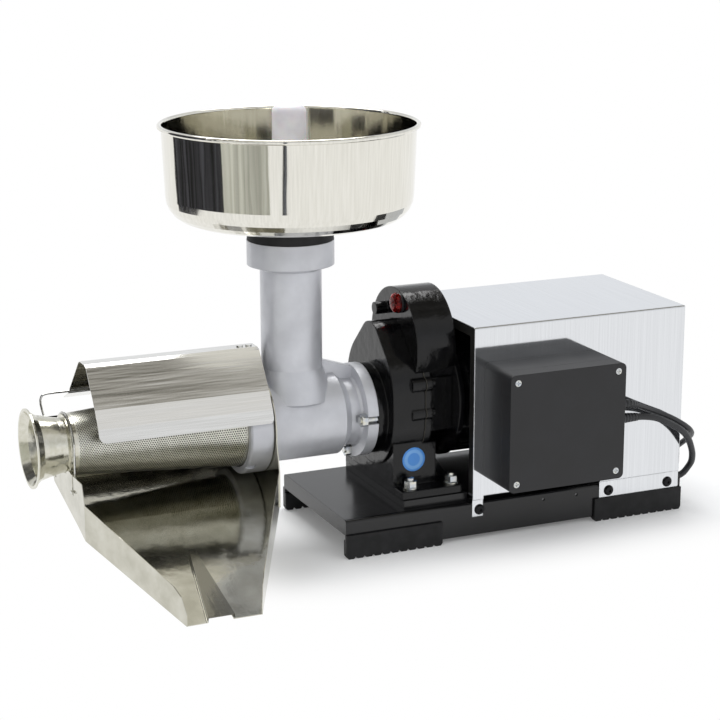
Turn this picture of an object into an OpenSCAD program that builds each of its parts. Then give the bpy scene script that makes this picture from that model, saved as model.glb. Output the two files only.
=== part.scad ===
// Electric tomato press: a geared motor on a folded base turns an auger inside a
// perforated cone. Pulp falls into the sloping tray, skins leave by the flared outlet.
// Millimetres. X runs from the outlet to the motor, Y away from the viewer, Z up.
// Every module is drawn with X = 0 at the base's left end, Y = 0 at its front flange.

/* [Base] */
// Length of the folded base
base_l = 417; // [400:1:440]
// Width of the folded base
base_w = 180; // [176:1:190]
// Height of the base's top face over the table
base_top = 43; // [40:1:48]
// Sheet thickness of the base
base_t = 2.5; // [2:0.5:3]
// Height of the flanges' lower edge over the table
flange_bottom = 5.5; // [5:0.5:7]
// Depth of the lip folded down at each end
lip_h = 17; // [16:1:20]
// Length of each rubber foot
foot_l = 113.5; // [90:0.5:120]
// Height of the foot's outer wall
foot_h = 26.5; // [20:0.5:26.5]
// Rubber thickness each side of the flange
foot_t = 3; // [2:0.5:5]
// Pitch of the serrations under a foot
tooth_pitch = 10.3; // [8:0.1:14]
// Height of the serrations
tooth_h = 3; // [2:0.5:4]

/* [Gearbox] */
// Height of the press and output shaft axis
axis_z = 138; // [138:1:144]
// Front face of the gearbox case, from the base's end
case_x = 68; // [66:1:72]
// Depth of the front half of the case
case_d = 38; // [38:1:40]
// Radius of the case around the output wheel
case_r = 63; // [63:0.5:66]
// Radius of the case's upper lobe
lobe_r = 25.5; // [25.5:0.5:28]
// Wall of the castings
case_wall = 4.5; // [4:0.5:5]
// Radius of the arched hump over the middle wheel
hump_r = 61; // [60.5:0.5:64]
// Front face of the hump
hump_x = 97; // [96:1:99]
// Rear face of the gearbox, where the motor is bolted
motor_x = 143; // [143:1:146]
// Thickness of the steel riser plate and of the case's foot
plate_t = 9; // [8:0.5:11]
// Module of the output gear pair
mod_out = 2; // [2]
// Module of the motor gear pair
mod_in = 1.5; // [1.5]
// Teeth of the output wheel
teeth_out = 55; // [55]
// Teeth of the pinion on the middle shaft
teeth_mid = 17; // [17]
// Teeth of the middle wheel
teeth_wheel = 70; // [70]
// Teeth of the motor pinion
teeth_motor = 12; // [12]

/* [Press body] */
// Radius of the barrel
barrel_r = 46; // [46:0.5:47]
// Wall of the barrel
barrel_wall = 6; // [5:0.5:7]
// Hopper neck axis, from the base's end
neck_x = -24.4; // [-26:0.1:-22]
// Radius of the neck
neck_r = 33; // [31:0.5:35]
// Top of the neck's collar
collar_top = 335; // [325:1:345]
// Height of the collar
collar_h = 26.5; // [24:0.5:30]
// Radius of the collar
collar_r = 46.8; // [46:0.1:50]
// Rear face of the flange, against the gearbox
flange_x = 56; // [56]
// Thickness of the flange
flange_t = 12.5; // [10:0.5:13]
// Radius of the flange
flange_r = 51.6; // [51:0.1:54]
// Front end of the threaded nose
nose_x = -86; // [-88:1:-84]
// Radius of the threaded nose
nose_r = 48; // [48:0.5:49]
// Radius of the ring nut
ring_r = 54.5; // [54:0.5:57]

/* [Cone and outlet] */
// Radius of the perforated cone at its big end
cone_r1 = 45.8; // [45:0.1:46.2]
// Radius of the cone at its small end
cone_r2 = 32.5; // [31:0.5:34]
// Small end of the cone
cone_x = -273; // [-276:1:-268]
// Sheet thickness of the cone and outlet
sheet_t = 0.8; // [0.6:0.1:1]
// Radius of the outlet tube at its root
outlet_r = 28; // [26:0.5:29]
// Radius of the outlet's flare
flare_r = 41.9; // [40:0.1:44]
// End of the outlet's flare
outlet_x = -317.4; // [-325:0.1:-310]

/* [Hopper] */
// Height of the hopper's rim
rim_z = 459.5; // [440:0.5:470]
// Radius over the rolled rim
rim_r = 138.5; // [130:0.5:145]
// Radius of the rolled rim's wire
rim_bead = 2.6; // [2:0.1:3]
// Height of the hopper's flat floor ring
floor_z = 357; // [350:1:362]
// Radius of the hopper's lower corner
bowl_round = 27; // [18:1:32]
// Height of the rubber ring between hopper and collar
rubber_h = 10; // [8:0.5:12]
// Radius of the pusher's stem
pusher_r = 18; // [15:0.5:19]
// Top of the pusher
pusher_top = 478; // [470:1:500]

/* [Tray and guard] */
// Front edge of the tray's lip
lip_y = -138; // [-145:1:-130]
// Height of the lip over the table
tray_z = 12; // [10:1:18]
// Slope of the tray's floor, degrees
tray_slope = 16.3; // [15:0.1:17]
// Depth of the tray's side walls
tray_wall = 38; // [34:1:40]
// Sheet thickness of the tray and guard
guard_t = 0.8; // [0.6:0.1:1]
// Left end of the splash guard
guard_x0 = -257; // [-262:1:-250]
// Right end of the splash guard
guard_x1 = -67; // [-70:1:-66]
// Wire of the bail and the guard's clip
wire_r = 1.25; // [1:0.05:1.5]

/* [Motor cover] */
// Left edge of the cover
cover_x0 = 150; // [150:1:152]
// Base's end beyond the cover
cover_inset = 3.7; // [2:0.1:8]
// Top of the cover
cover_top = 240; // [236:1:246]
// Sheet thickness of the cover
cover_t = 1.2; // [1:0.1:1.5]
// How far the cover's sides stand out from the base
cover_out = 2.4; // [2.4:0.1:3]
// Radius of the motor's stator frame
motor_r = 66; // [62:1:68]
// Length of the stator's frame
stator_l = 142; // [120:1:145]

/* [Control box] */
// Left side of the control box
box_x = 162; // [160:1:170]
// Width of the control box
box_w = 140; // [130:1:145]
// Height of the control box
box_h = 130; // [120:1:135]
// Underside of the control box
box_z = 70.5; // [66:0.5:76]
// Depth of the box behind its lid
box_d = 39; // [36:1:44]
// Depth of the lid
lid_d = 20; // [15:1:24]
// Wall of the box and lid
box_wall = 2.5; // [2:0.5:3]
// Radius of the mains lead
cord_r = 3.4; // [3.4]
// Radius of the lead from the box to the motor
link_r = 3.8; // [3.8]

/* [Hidden] */
$fn = 48;
eps = 0.5;
run = 0.05;
gap = 0.3;
axis_y = base_w / 2;
mid_z = axis_z + mod_out * (teeth_out + teeth_mid) / 2;
rotor_z = mid_z - mod_in * (teeth_wheel + teeth_motor) / 2;
split_x = case_x + case_d;
riser_z = base_top + plate_t;
foot_z = riser_z + plate_t;
plate_y = 10;
block_y = 34;
plate_x1 = split_x + 43;
shaft_r = 12.5;
out_bearing = [23.5, 12];
out_bearing_x = case_x - 5;
rear_bearing = [21, 12];
rear_shaft_r = 10;
rear_bearing_x = split_x - 7;
mid_bearing = [16, 9];
mid_shaft_r = 7.5;
mid_front_x = case_x + 3;
mid_rear_x = motor_x - 12;
tower_r = 50;
wheel_x = case_x + 14;
wheel_w = 16;
chamber_x = split_x + 7;
pinion_x = chamber_x + 2;
pinion_w = 14;
rotor_bearing = [20, 11];
rotor_shaft_r = 8.5;
bracket_d = 15;
stator_x0 = motor_x + bracket_d;
stator_x1 = stator_x0 + stator_l;
stud_r = 4;
stud_pcr = 45;
stud_angles = [180, 270, 0];
seat_r = 40.5;
neck_bore = 29;
spigot_r = seat_r - gap;
bore_r = barrel_r - barrel_wall;
waist_r = 38;
waist_x = 27;
ring_x0 = nose_x - 6;
ring_x1 = nose_x + 20;
end_plate_x = ring_x1 + gap;
cone_flange = 2;
disc_t = 3;
root_r = outlet_r + 4;
root_w = 4;
tray_x0 = cone_x - disc_t - root_w - 1;
tray_x1 = end_plate_x;
lip_x0 = -226;
lip_x1 = -148;
bend_y = 40;
bail_x = cone_x - disc_t - root_w / 2;
bail_r = root_r + gap + wire_r;
hook_z = axis_z - 41;
cover_x1 = base_l - cover_inset;
lens_y = axis_y - 15;
lens_z = mid_z + 47;
tab_bottom = foot_h + 0.2;
tab_top = 50;
tab_screw_z = 34.5;
tab_screws = [cover_x0 + 8.7, cover_x1 - 91.4, cover_x1 - 14.4];
hole_line = [239, 281];
gland_y = -24;
gland_z = [141, 125];
gland_l = 16;
grommet_y = 12;
grommet_lip = 2;
grommet_z = 33.5;
riser_hole = [290, 80];
foot_bolts = [[87, 24], [136, 24], [87, base_w - 24], [136, base_w - 24]];

// The part's origin: the middle of its box, on the table
part_x = (outlet_x + base_l + grommet_lip) / 2;
part_y = (lip_y + axis_y + rim_r) / 2;

// Routes of the two leads, chosen by hand, smoothed by smooth()
mains_route = [[318, -24, 141], [330, -24, 141], [344, -20, 136.5], [358, -15, 130], [375, -12, 122.5],
  [392, -12, 115], [406, -12, 107], [419, -10, 98], [430, 0, 88], [436, 18, 76], [437, 42, 59],
  [436, 68, 39], [434, 95, 21], [432, 122, 9], [430, 150, 4.5], [424, 179, 4], [407, 205, 4],
  [379, 220, 4], [350, 222, 4], [340, 222, 4]];
tail_route = [[340, 311, 10.5], [352, 311, 10.5], [366, 312, 13], [382, 313, 18], [396, 313, 19]];
link_route = [[318, -24, 125], [326, -24, 125], [350, -23, 123.5], [368, -22, 119.5], [381, -22, 113.5],
  [392, -21, 107.5], [403, -20, 100.5], [412, -18, 92], [420, -14, 80], [427, -8, 66], [430.5, -1, 54],
  [430.5, 4.5, 47], [427.5, 8.5, 39.5], [422, 11, 35], [415.5, 12, 33.5], [405, 12.5, 33], [390, 16, 31],
  [370, 26, 27], [350, 39, 22.5], [330, 54, 18.5], [314, 66, 17], [305.5, 71, 17.5], [297.7, 75.4, 20],
  [292, 78.8, 26.5], [290, 80, 35.5], [290, 80, 46], [290, 80, 60], [290, 80, 78]];
coil_c = [340, 266.5];
coil_r = [27, 48];
coil_h = 14;
plug_c = [418, 313, 19];

// Helpers: prisms and turned shapes along X, drawn as (y, z) or (radius, x)

module place() translate([-part_x, -part_y, 0]) children();
module x_prism(x0, x1) translate([x0, 0, 0]) rotate([90, 0, 90]) linear_extrude(x1 - x0) children();
module y_prism(y0, y1) translate([0, y1, 0]) rotate([90, 0, 0]) linear_extrude(y1 - y0) children();
module x_cyl(x0, x1, r, y = axis_y, z = axis_z)
  translate([x0, y, z]) rotate([0, 90, 0]) cylinder(r = r, h = x1 - x0);
module y_cyl(y0, y1, r, x, z) translate([x, y1, z]) rotate([90, 0, 0]) cylinder(r = r, h = y1 - y0);
module z_cyl(z0, z1, r, x, y) translate([x, y, z0]) cylinder(r = r, h = z1 - z0);
module x_ring(x0, x1, r_out, r_in, y = axis_y, z = axis_z) difference() {
  x_cyl(x0, x1, r_out, y, z);
  x_cyl(x0 - eps, x1 + eps, r_in, y, z);
}
module x_turn(points, y = axis_y, z = axis_z)
  translate([0, y, z]) rotate([0, 90, 0]) rotate_extrude($fn = 96) polygon(points);
module round_rect(x0, y0, x1, y1, r) {
  translate([x0 + r, y0]) square([x1 - x0 - 2 * r, y1 - y0]);
  translate([x0, y0 + r]) square([x1 - x0, y1 - y0 - 2 * r]);
  for (x = [x0 + r, x1 - r], y = [y0 + r, y1 - r]) translate([x, y]) circle(r);
}
module x_hex(x0, x1, across, y, z) translate([x0, y, z]) rotate([0, 90, 0])
  cylinder(r = across / sqrt(3), h = x1 - x0, $fn = 6);

// Swept leads: a Catmull-Rom curve through the route's points, carried round by its normal

function unit(v) = v / norm(v);
function point_at(p, i) = p[max(0, min(len(p) - 1, i))];
function curve(a, b, c, d, u) = 0.5 * ((2 * b) + (c - a) * u
  + (2 * a - 5 * b + 4 * c - d) * u * u + (3 * b - a - 3 * c + d) * u * u * u);
function smooth(p, k) = concat([for (i = [0 : len(p) - 2], j = [0 : k - 1])
  curve(point_at(p, i - 1), p[i], p[i + 1], point_at(p, i + 2), j / k)], [p[len(p) - 1]]);
function tangents(p) = [for (i = [0 : len(p) - 1]) unit(point_at(p, i + 1) - point_at(p, i - 1))];
function carried(t, i, n, list) = i == len(t) ? list
  : let (m = unit(n - (n * t[i]) * t[i])) carried(t, i + 1, m, concat(list, [m]));
module tube(route, r, steps = 2, sides = 8, up = [0, 0, 1]) {
  path = smooth(route, steps);
  t = tangents(path);
  n = carried(t, 0, up, []);
  rings = len(path);
  polyhedron(
    points = [for (i = [0 : rings - 1], k = [0 : sides - 1]) path[i]
      + r * (cos(360 * k / sides) * n[i] + sin(360 * k / sides) * cross(t[i], n[i]))],
    faces = concat([[for (k = [0 : sides - 1]) k]],
      [[for (k = [0 : sides - 1]) (rings - 1) * sides + sides - 1 - k]],
      [for (i = [0 : rings - 2], k = [0 : sides - 1]) let (m = (k + 1) % sides)
        [i * sides + k, (i + 1) * sides + k, (i + 1) * sides + m, i * sides + m]]),
    convexity = 8);
}

// Involute gears with a 25 degree flank and a little backlash, one tooth along +x

pressure = 25;
function flank_angle(rb, r) = r <= rb ? 0 : sqrt(pow(r / rb, 2) - 1) * 180 / PI - acos(rb / r);
function tooth_half(m, z, r) = let (rp = m * z / 2, rb = rp * cos(pressure))
  90 / z - 0.05 * m * 180 / PI / rp + flank_angle(rb, rp) - flank_angle(rb, r);
module gear_shape(m, z) {
  rp = m * z / 2;
  rb = rp * cos(pressure);
  root = rp - 1.2 * m;
  radii = [root, max(root + 0.1, rb), rp - 0.2 * m, rp + 0.35 * m, rp + 0.9 * m];
  polygon([for (i = [0 : z - 1]) each concat(
    [for (r = radii) let (a = 360 * i / z - tooth_half(m, z, max(r, rb))) r * [cos(a), sin(a)]],
    [for (k = [4 : -1 : 0]) let (r = radii[k], a = 360 * i / z + tooth_half(m, z, max(r, rb)))
      r * [cos(a), sin(a)]])]);
}
module x_gear(m, z, x0, x1, axis_height, turn = 0)
  translate([x0, axis_y, axis_height]) rotate([0, 90, 0]) rotate([0, 0, turn])
    linear_extrude(x1 - x0) gear_shape(m, z);
module x_bearing(x0, size, bore, y, z) {
  mid = (size[0] + bore) / 2;
  x_turn([[bore, x0], [mid - 2, x0], [mid - 2, x0 + 1], [mid + 2, x0 + 1], [mid + 2, x0],
    [size[0], x0], [size[0], x0 + size[1]], [mid + 2, x0 + size[1]], [mid + 2, x0 + size[1] - 1],
    [mid - 2, x0 + size[1] - 1], [mid - 2, x0 + size[1]], [bore, x0 + size[1]]], y, z);
}

// Base, feet and riser

module base_frame() color("#1b1b1d") difference() {
  union() {
    difference() {
      x_prism(0, base_l) difference() {
        round_rect(0, flange_bottom - 20, base_w, base_top, 4);
        round_rect(base_t, flange_bottom - 21, base_w - base_t, base_top - base_t, 1.5);
      }
      translate([-eps, -eps, -30]) cube([base_l + 2 * eps, base_w + 2 * eps, 30 + flange_bottom]);
    }
    for (x = [0, base_l - base_t]) translate([x, base_t, base_top - lip_h])
      cube([base_t, base_w - 2 * base_t, lip_h - base_t]);
  }
  for (p = foot_bolts) z_cyl(base_top - 10, base_top + eps, stud_r + 0.3, p[0], p[1]);
  for (x = tab_screws, y = [-eps, base_w - base_t - eps])
    y_cyl(y, y + base_t + 2 * eps, 2.6, x, tab_screw_z);
  for (x = hole_line) y_cyl(-eps, base_t + eps, 1.8, x, tab_screw_z);
  x_cyl(base_l - base_t - eps, base_l + eps, 5.5, grommet_y, grommet_z);
  z_cyl(base_top - 10, base_top + eps, 5.5, riser_hole[0], riser_hole[1]);
}

module foot(x, far) {
  teeth = floor(foot_l / tooth_pitch);
  side = (foot_l - teeth * tooth_pitch) / 2;
  profile = concat([[0, foot_h], [0, tooth_h], [side, tooth_h]],
    [for (i = [0 : teeth - 1]) let (a = side + i * tooth_pitch) each
      [[a + 0.2 * tooth_pitch, 0], [a + 0.8 * tooth_pitch, 0], [a + tooth_pitch, tooth_h]]],
    [[foot_l, tooth_h], [foot_l, foot_h]]);
  translate([x, far ? base_w : 0, 0]) mirror([0, far ? 1 : 0, 0]) difference() {
    y_prism(-foot_t, base_t + foot_t) polygon(profile);
    translate([-eps, 0, flange_bottom]) cube([foot_l + 2 * eps, base_t, foot_h]);
    translate([-eps, base_t, 20]) cube([foot_l + 2 * eps, foot_t + eps, foot_h]);
  }
}
module rubber_feet() color("#202022")
  for (x = [0, base_l - foot_l], far = [false, true]) foot(x, far);

module riser_plate() color("#1c1c1e") difference() {
  translate([case_x + 5, plate_y, base_top]) cube([plate_x1 - case_x - 5, base_w - 2 * plate_y, plate_t]);
  for (p = foot_bolts) z_cyl(base_top - eps, riser_z + eps, stud_r + 0.3, p[0], p[1]);
}

// Gearbox castings. pear() is the outline of the case: two circles, a top lobe, tangents.

module pear(d = 0) {
  r1 = case_r + d;
  r2 = lobe_r + d;
  z1 = axis_z + 20;
  span = mid_z - z1;
  rise = (r1 - r2) / span;
  run_out = sqrt(1 - rise * rise);
  translate([axis_y, axis_z]) circle(r1, $fn = 96);
  translate([axis_y, z1]) circle(r1, $fn = 96);
  translate([axis_y - r1, axis_z]) square([2 * r1, z1 - axis_z]);
  translate([axis_y, mid_z]) circle(r2);
  polygon([for (s = [-1, 1]) [axis_y + s * r1 * run_out, z1 + r1 * rise],
    for (s = [1, -1]) [axis_y + s * r2 * run_out, mid_z + r2 * rise]]);
}
case_bosses = [[-58, 4], [58, 4], [-58, 36], [58, 36], [-38, -47], [38, -47]];
module boss_row(x0, x1, r) for (b = case_bosses) x_cyl(x0, x1, r, axis_y + b[0], axis_z + b[1]);

module gearbox_front_case() color("#161617") difference() {
  union() {
    difference() {
      union() {
        x_prism(case_x, split_x) pear();
        boss_row(split_x - 16, split_x, 8);
      }
      x_prism(case_x + case_wall, split_x + eps) pear(-case_wall);
    }
    x_cyl(flange_x, case_x + 1, 50);
    x_cyl(case_x, out_bearing_x + out_bearing[1], out_bearing[0] + 4.5);
    x_cyl(case_x + 1, mid_front_x + mid_bearing[1], mid_bearing[0] + 4, axis_y, mid_z);
    // pedestal block and bolted foot
    difference() {
      translate([case_x + 3, block_y, foot_z - 0.5]) cube([51, base_w - 2 * block_y, axis_z - foot_z]);
      translate([case_x + 9, block_y + 6, foot_z + 6]) cube([39, base_w - 2 * block_y - 12, axis_z]);
      x_prism(case_x + case_wall, case_x + 60) pear(-case_wall);
      translate([split_x, 20, axis_z - 18]) cube([20, base_w - 40, 30]);
      x_prism(split_x, split_x + 20) joint_face(0.5);
    }
    translate([case_x + 4, plate_y + 2, riser_z]) cube([split_x + 37 - case_x - 4, base_w - 2 * plate_y - 4, plate_t]);
    for (y = [40, axis_y - 4, base_w - 48]) translate([case_x + 54 - eps, y, foot_z - 0.5])
      rotate([90, 0, 0]) mirror([0, 0, 1]) linear_extrude(8) polygon([[0, 0], [20, 0], [0, 30]]);
  }
  x_cyl(flange_x - eps, out_bearing_x + out_bearing[1] + eps, out_bearing[0]);
  x_cyl(mid_front_x, mid_front_x + mid_bearing[1] + eps, mid_bearing[0], axis_y, mid_z);
  for (p = foot_bolts) z_cyl(riser_z - eps, foot_z + eps, stud_r + 0.3, p[0], p[1]);
  for (a = stud_angles) stud_bore(a);
  boss_row(split_x - 12, split_x + eps, 2.5);
}
module stud_bore(a) rotate_stud(a) x_cyl(flange_x - eps, flange_x + 10, stud_r, 0, 0);
module rotate_stud(a) translate([0, axis_y + stud_pcr * cos(a), axis_z + stud_pcr * sin(a)]) children();

gasket_t = 0.8;
module joint_face(d = 0) {
  pear(d);
  for (b = case_bosses) translate([axis_y + b[0], axis_z + b[1]]) circle(8 + d);
}
module gearbox_gasket() color("#6b5a3c") difference() {
  x_prism(split_x, split_x + gasket_t) difference() {
    joint_face();
    pear(-case_wall);
  }
  boss_row(split_x - eps, split_x + 2, 3);
}

module gearbox_rear_case() color("#161617") difference() {
  union() {
    x_prism(split_x + gasket_t, chamber_x + 1) joint_face();
    x_cyl(rear_bearing_x, split_x + 2, rear_bearing[0] + 4);
    x_cyl(chamber_x, motor_x, tower_r, axis_y, rotor_z);
    difference() {
      x_cyl(hump_x, motor_x, hump_r, axis_y, mid_z);
      x_prism(hump_x - eps, split_x + gasket_t) joint_face(0.4);
      translate([hump_x - 1, 0, 0]) cube([motor_x, base_w, mid_z - 30]);
    }
    translate([chamber_x, axis_y - tower_r, rotor_z]) cube([motor_x - chamber_x, 2 * tower_r, mid_z - 20 - rotor_z]);
    for (s = [-1, 1]) x_prism(chamber_x, motor_x)
      translate([axis_y + s * tower_r - 3, rotor_z - 30]) square([6, 60]);
    x_cyl(hump_x - 14, hump_x + 2, 7, axis_y + 22, mid_z + 34);
  }
  x_cyl(rear_bearing_x - eps, rear_bearing_x + rear_bearing[1], rear_bearing[0]);
  x_cyl(chamber_x, mid_rear_x, hump_r - case_wall, axis_y, mid_z);
  x_cyl(chamber_x, mid_rear_x, 24, axis_y, rotor_z);
  x_cyl(split_x - eps, chamber_x + eps, 13, axis_y, mid_z);
  x_cyl(mid_rear_x - eps, mid_rear_x + mid_bearing[1], mid_bearing[0], axis_y, mid_z);
  x_cyl(mid_rear_x - eps, motor_x + eps, rotor_shaft_r + 2, axis_y, rotor_z);
  x_cyl(hump_x - eps, hump_x + 14, 10, lens_y, lens_z);
  boss_row(split_x, chamber_x + 2, 2.5);
}

module case_screws() color("#2a2a2c") for (b = case_bosses) {
  y = axis_y + b[0];
  z = axis_z + b[1];
  x_cyl(wheel_x + wheel_w + 1.5, chamber_x + 1, 2.4, y, z);
  x_cyl(chamber_x + 1, chamber_x + 6, 4.5, y, z);
}
module foot_nuts() color("silver") for (p = foot_bolts) {
  z_cyl(base_top - 8, foot_z + 12, stud_r, p[0], p[1]);
  z_cyl(foot_z, foot_z + 1.8, 9, p[0], p[1]);
  translate([p[0], p[1], foot_z + 1.8]) cylinder(r = 13 / sqrt(3), h = 7, $fn = 6);
  z_cyl(base_top - base_t - 5, base_top - base_t, 7.5, p[0], p[1]);
}

// Shafts, wheels and bearings of the gear train

module output_bearings() color("#b9bcc0") {
  x_bearing(out_bearing_x, out_bearing, shaft_r, axis_y, axis_z);
  x_bearing(rear_bearing_x, rear_bearing, rear_shaft_r, axis_y, axis_z);
}
module middle_bearings() color("#b9bcc0")
  for (x = [mid_front_x, mid_rear_x]) x_bearing(x, mid_bearing, mid_shaft_r, axis_y, mid_z);
module output_seal() color("#8a3b2a") x_turn([[shaft_r + run, out_bearing_x - 6],
  [out_bearing[0], out_bearing_x - 6], [out_bearing[0], out_bearing_x], [shaft_r + 3, out_bearing_x],
  [shaft_r + 3, out_bearing_x - 4], [shaft_r + run, out_bearing_x - 4]]);
module output_shaft() color("#c4c6c9") difference() {
  union() {
    x_cyl(30, wheel_x + wheel_w, shaft_r - run);
    x_cyl(out_bearing_x + out_bearing[1] + 0.2, wheel_x, shaft_r + 3);
    x_cyl(wheel_x + wheel_w - eps, rear_bearing_x + rear_bearing[1] - 1, rear_shaft_r - run);
  }
  translate([29, axis_y - 7, axis_z - 7]) cube([23, 14, 14]);
}
module output_wheel() color("#a9abae") difference() {
  x_gear(mod_out, teeth_out, wheel_x, wheel_x + wheel_w, axis_z);
  x_cyl(wheel_x - eps, wheel_x + wheel_w + eps, shaft_r);
  for (x = [wheel_x - eps, wheel_x + wheel_w - 3.5]) x_ring(x, x + 4, 48, 22);
  for (a = [0 : 60 : 300]) translate([0, axis_y + 35 * cos(a), axis_z + 35 * sin(a)])
    x_cyl(wheel_x - eps, wheel_x + wheel_w + eps, 8, 0, 0);
}
module middle_shaft() color("#c4c6c9") {
  x_cyl(mid_front_x + 0.5, mid_rear_x + mid_bearing[1] - 0.5, mid_shaft_r - run, axis_y, mid_z);
  x_gear(mod_out, teeth_mid, wheel_x, wheel_x + wheel_w, mid_z);
  x_cyl(wheel_x + wheel_w - eps, pinion_x, 11, axis_y, mid_z);
}
module middle_wheel() color("#a9abae") difference() {
  union() {
    x_gear(mod_in, teeth_wheel, pinion_x, pinion_x + pinion_w, mid_z);
  }
  x_cyl(pinion_x - eps, pinion_x + pinion_w + eps, mid_shaft_r, axis_y, mid_z);
  x_ring(pinion_x + pinion_w - 4, pinion_x + pinion_w + eps, 45, 16, axis_y, mid_z);
  for (a = [0 : 60 : 300]) translate([0, 30 * cos(a), 30 * sin(a)])
    x_cyl(pinion_x - eps, pinion_x + pinion_w + eps, 8, axis_y, mid_z);
}
module motor_pinion() color("#a9abae") difference() {
  x_gear(mod_in, teeth_motor, pinion_x, pinion_x + pinion_w, rotor_z, 180 / teeth_motor);
  x_cyl(pinion_x - eps, pinion_x + pinion_w + eps, 5, axis_y, rotor_z);
}

// Motor

bearing_front_x = stator_x0 - rotor_bearing[1];
bearing_rear_x = stator_x1 + 2;
module rotor_shaft() color("#c4c6c9") {
  x_cyl(pinion_x - 1, pinion_x + pinion_w + 0.2, 5 - run / 5, axis_y, rotor_z);
  x_cyl(pinion_x + pinion_w, bearing_rear_x + rotor_bearing[1] + 20, rotor_shaft_r - run, axis_y, rotor_z);
}
module rotor() color("#8d8f92") {
  x_ring(stator_x0 + 20, stator_x1 - 22, 35.5, rotor_shaft_r, axis_y, rotor_z);
  for (x = [stator_x0 + 14, stator_x1 - 22]) x_ring(x, x + 6, 34, 20, axis_y, rotor_z);
}
module cooling_fan() color("#3a3a3c") {
  x0 = bearing_rear_x + rotor_bearing[1] + 5;
  x_ring(x0, x0 + 14, 16, rotor_shaft_r, axis_y, rotor_z);
  difference() {
    x_ring(x0, x0 + 2, 52, 15.5, axis_y, rotor_z);
  }
  for (a = [0 : 45 : 315]) translate([x0 + 1.5, axis_y, rotor_z]) rotate([a, 0, 0])
    translate([0, -1, 15]) cube([12, 2, 36]);
}
module motor_bearings() color("#b9bcc0") for (x = [bearing_front_x, bearing_rear_x])
  x_bearing(x, rotor_bearing, rotor_shaft_r, axis_y, rotor_z);
module motor_front_bracket() color("#18181a") difference() {
  union() {
    x_cyl(motor_x, motor_x + 6, 72, axis_y, rotor_z);
    x_cyl(motor_x, stator_x0, rotor_bearing[0] + 6, axis_y, rotor_z);
    x_ring(motor_x, stator_x0, motor_r, motor_r - 6, axis_y, rotor_z);
    for (a = [0 : 30 : 330]) translate([motor_x, axis_y, rotor_z]) rotate([a, 0, 0])
      translate([0, -2, rotor_bearing[0] + 4]) cube([stator_x0 - motor_x, 4, motor_r - rotor_bearing[0] - 6]);
  }
  x_cyl(bearing_front_x, stator_x0 + eps, rotor_bearing[0], axis_y, rotor_z);
  x_cyl(motor_x - eps, stator_x0, rotor_shaft_r + 2, axis_y, rotor_z);
}
module stator() color("#5b4a3c") {
  x_ring(stator_x0 + 18, stator_x1 - 20, motor_r - 4, 36, axis_y, rotor_z);
  for (x = [stator_x0 + 6, stator_x1 - 20]) x_ring(x, x + 12, motor_r - 10, 41, axis_y, rotor_z);
}
module motor_frame() color("#2b2c2e") difference() {
  union() {
    x_ring(stator_x0, stator_x1, motor_r, motor_r - 4, axis_y, rotor_z);
    for (a = [20 : 20 : 340]) if (a != 180) translate([stator_x0, axis_y, rotor_z]) rotate([a, 0, 0])
      translate([0, -1.2, motor_r - 1]) cube([stator_x1 - stator_x0, 2.4, 5]);
    difference() {
      z_cyl(78, rotor_z - motor_r + 6, 9, riser_hole[0], riser_hole[1]);
      x_cyl(stator_x0, stator_x1, motor_r - 1, axis_y, rotor_z);
    }
  }
}
module motor_rear_bracket() color("#18181a") difference() {
  union() {
    x_cyl(stator_x1, stator_x1 + 5, motor_r, axis_y, rotor_z);
    x_cyl(stator_x1, bearing_rear_x + rotor_bearing[1], rotor_bearing[0] + 5, axis_y, rotor_z);
    translate([stator_x1, axis_y - base_w / 4, base_top]) cube([5, base_w / 2, rotor_z - base_top - 20]);
    translate([stator_x1, axis_y - base_w / 4, base_top]) cube([26, base_w / 2, 5]);
  }
  x_cyl(bearing_rear_x, bearing_rear_x + rotor_bearing[1] + eps, rotor_bearing[0], axis_y, rotor_z);
  x_cyl(stator_x1 - eps, stator_x1 + 20, rotor_shaft_r + 2, axis_y, rotor_z);
  for (a = [15 : 30 : 345]) translate([0, 48 * cos(a), 48 * sin(a)])
    x_cyl(stator_x1 - eps, stator_x1 + 6, 7, axis_y, rotor_z);
}

// Press body: barrel, waist, flange, neck and collar in one casting

module open_slot(a) translate([flange_x - flange_t - eps, axis_y, axis_z]) rotate([a, 0, 0]) {
  translate([0, stud_pcr, -stud_r - 0.4]) cube([flange_t + 2 * eps, 30, 2 * stud_r + 0.8]);
  x_cyl(0, flange_t + 2 * eps, stud_r + 0.4, stud_pcr, 0);
  x_cyl(-8, eps, 8.3, stud_pcr, 0);
}

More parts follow.
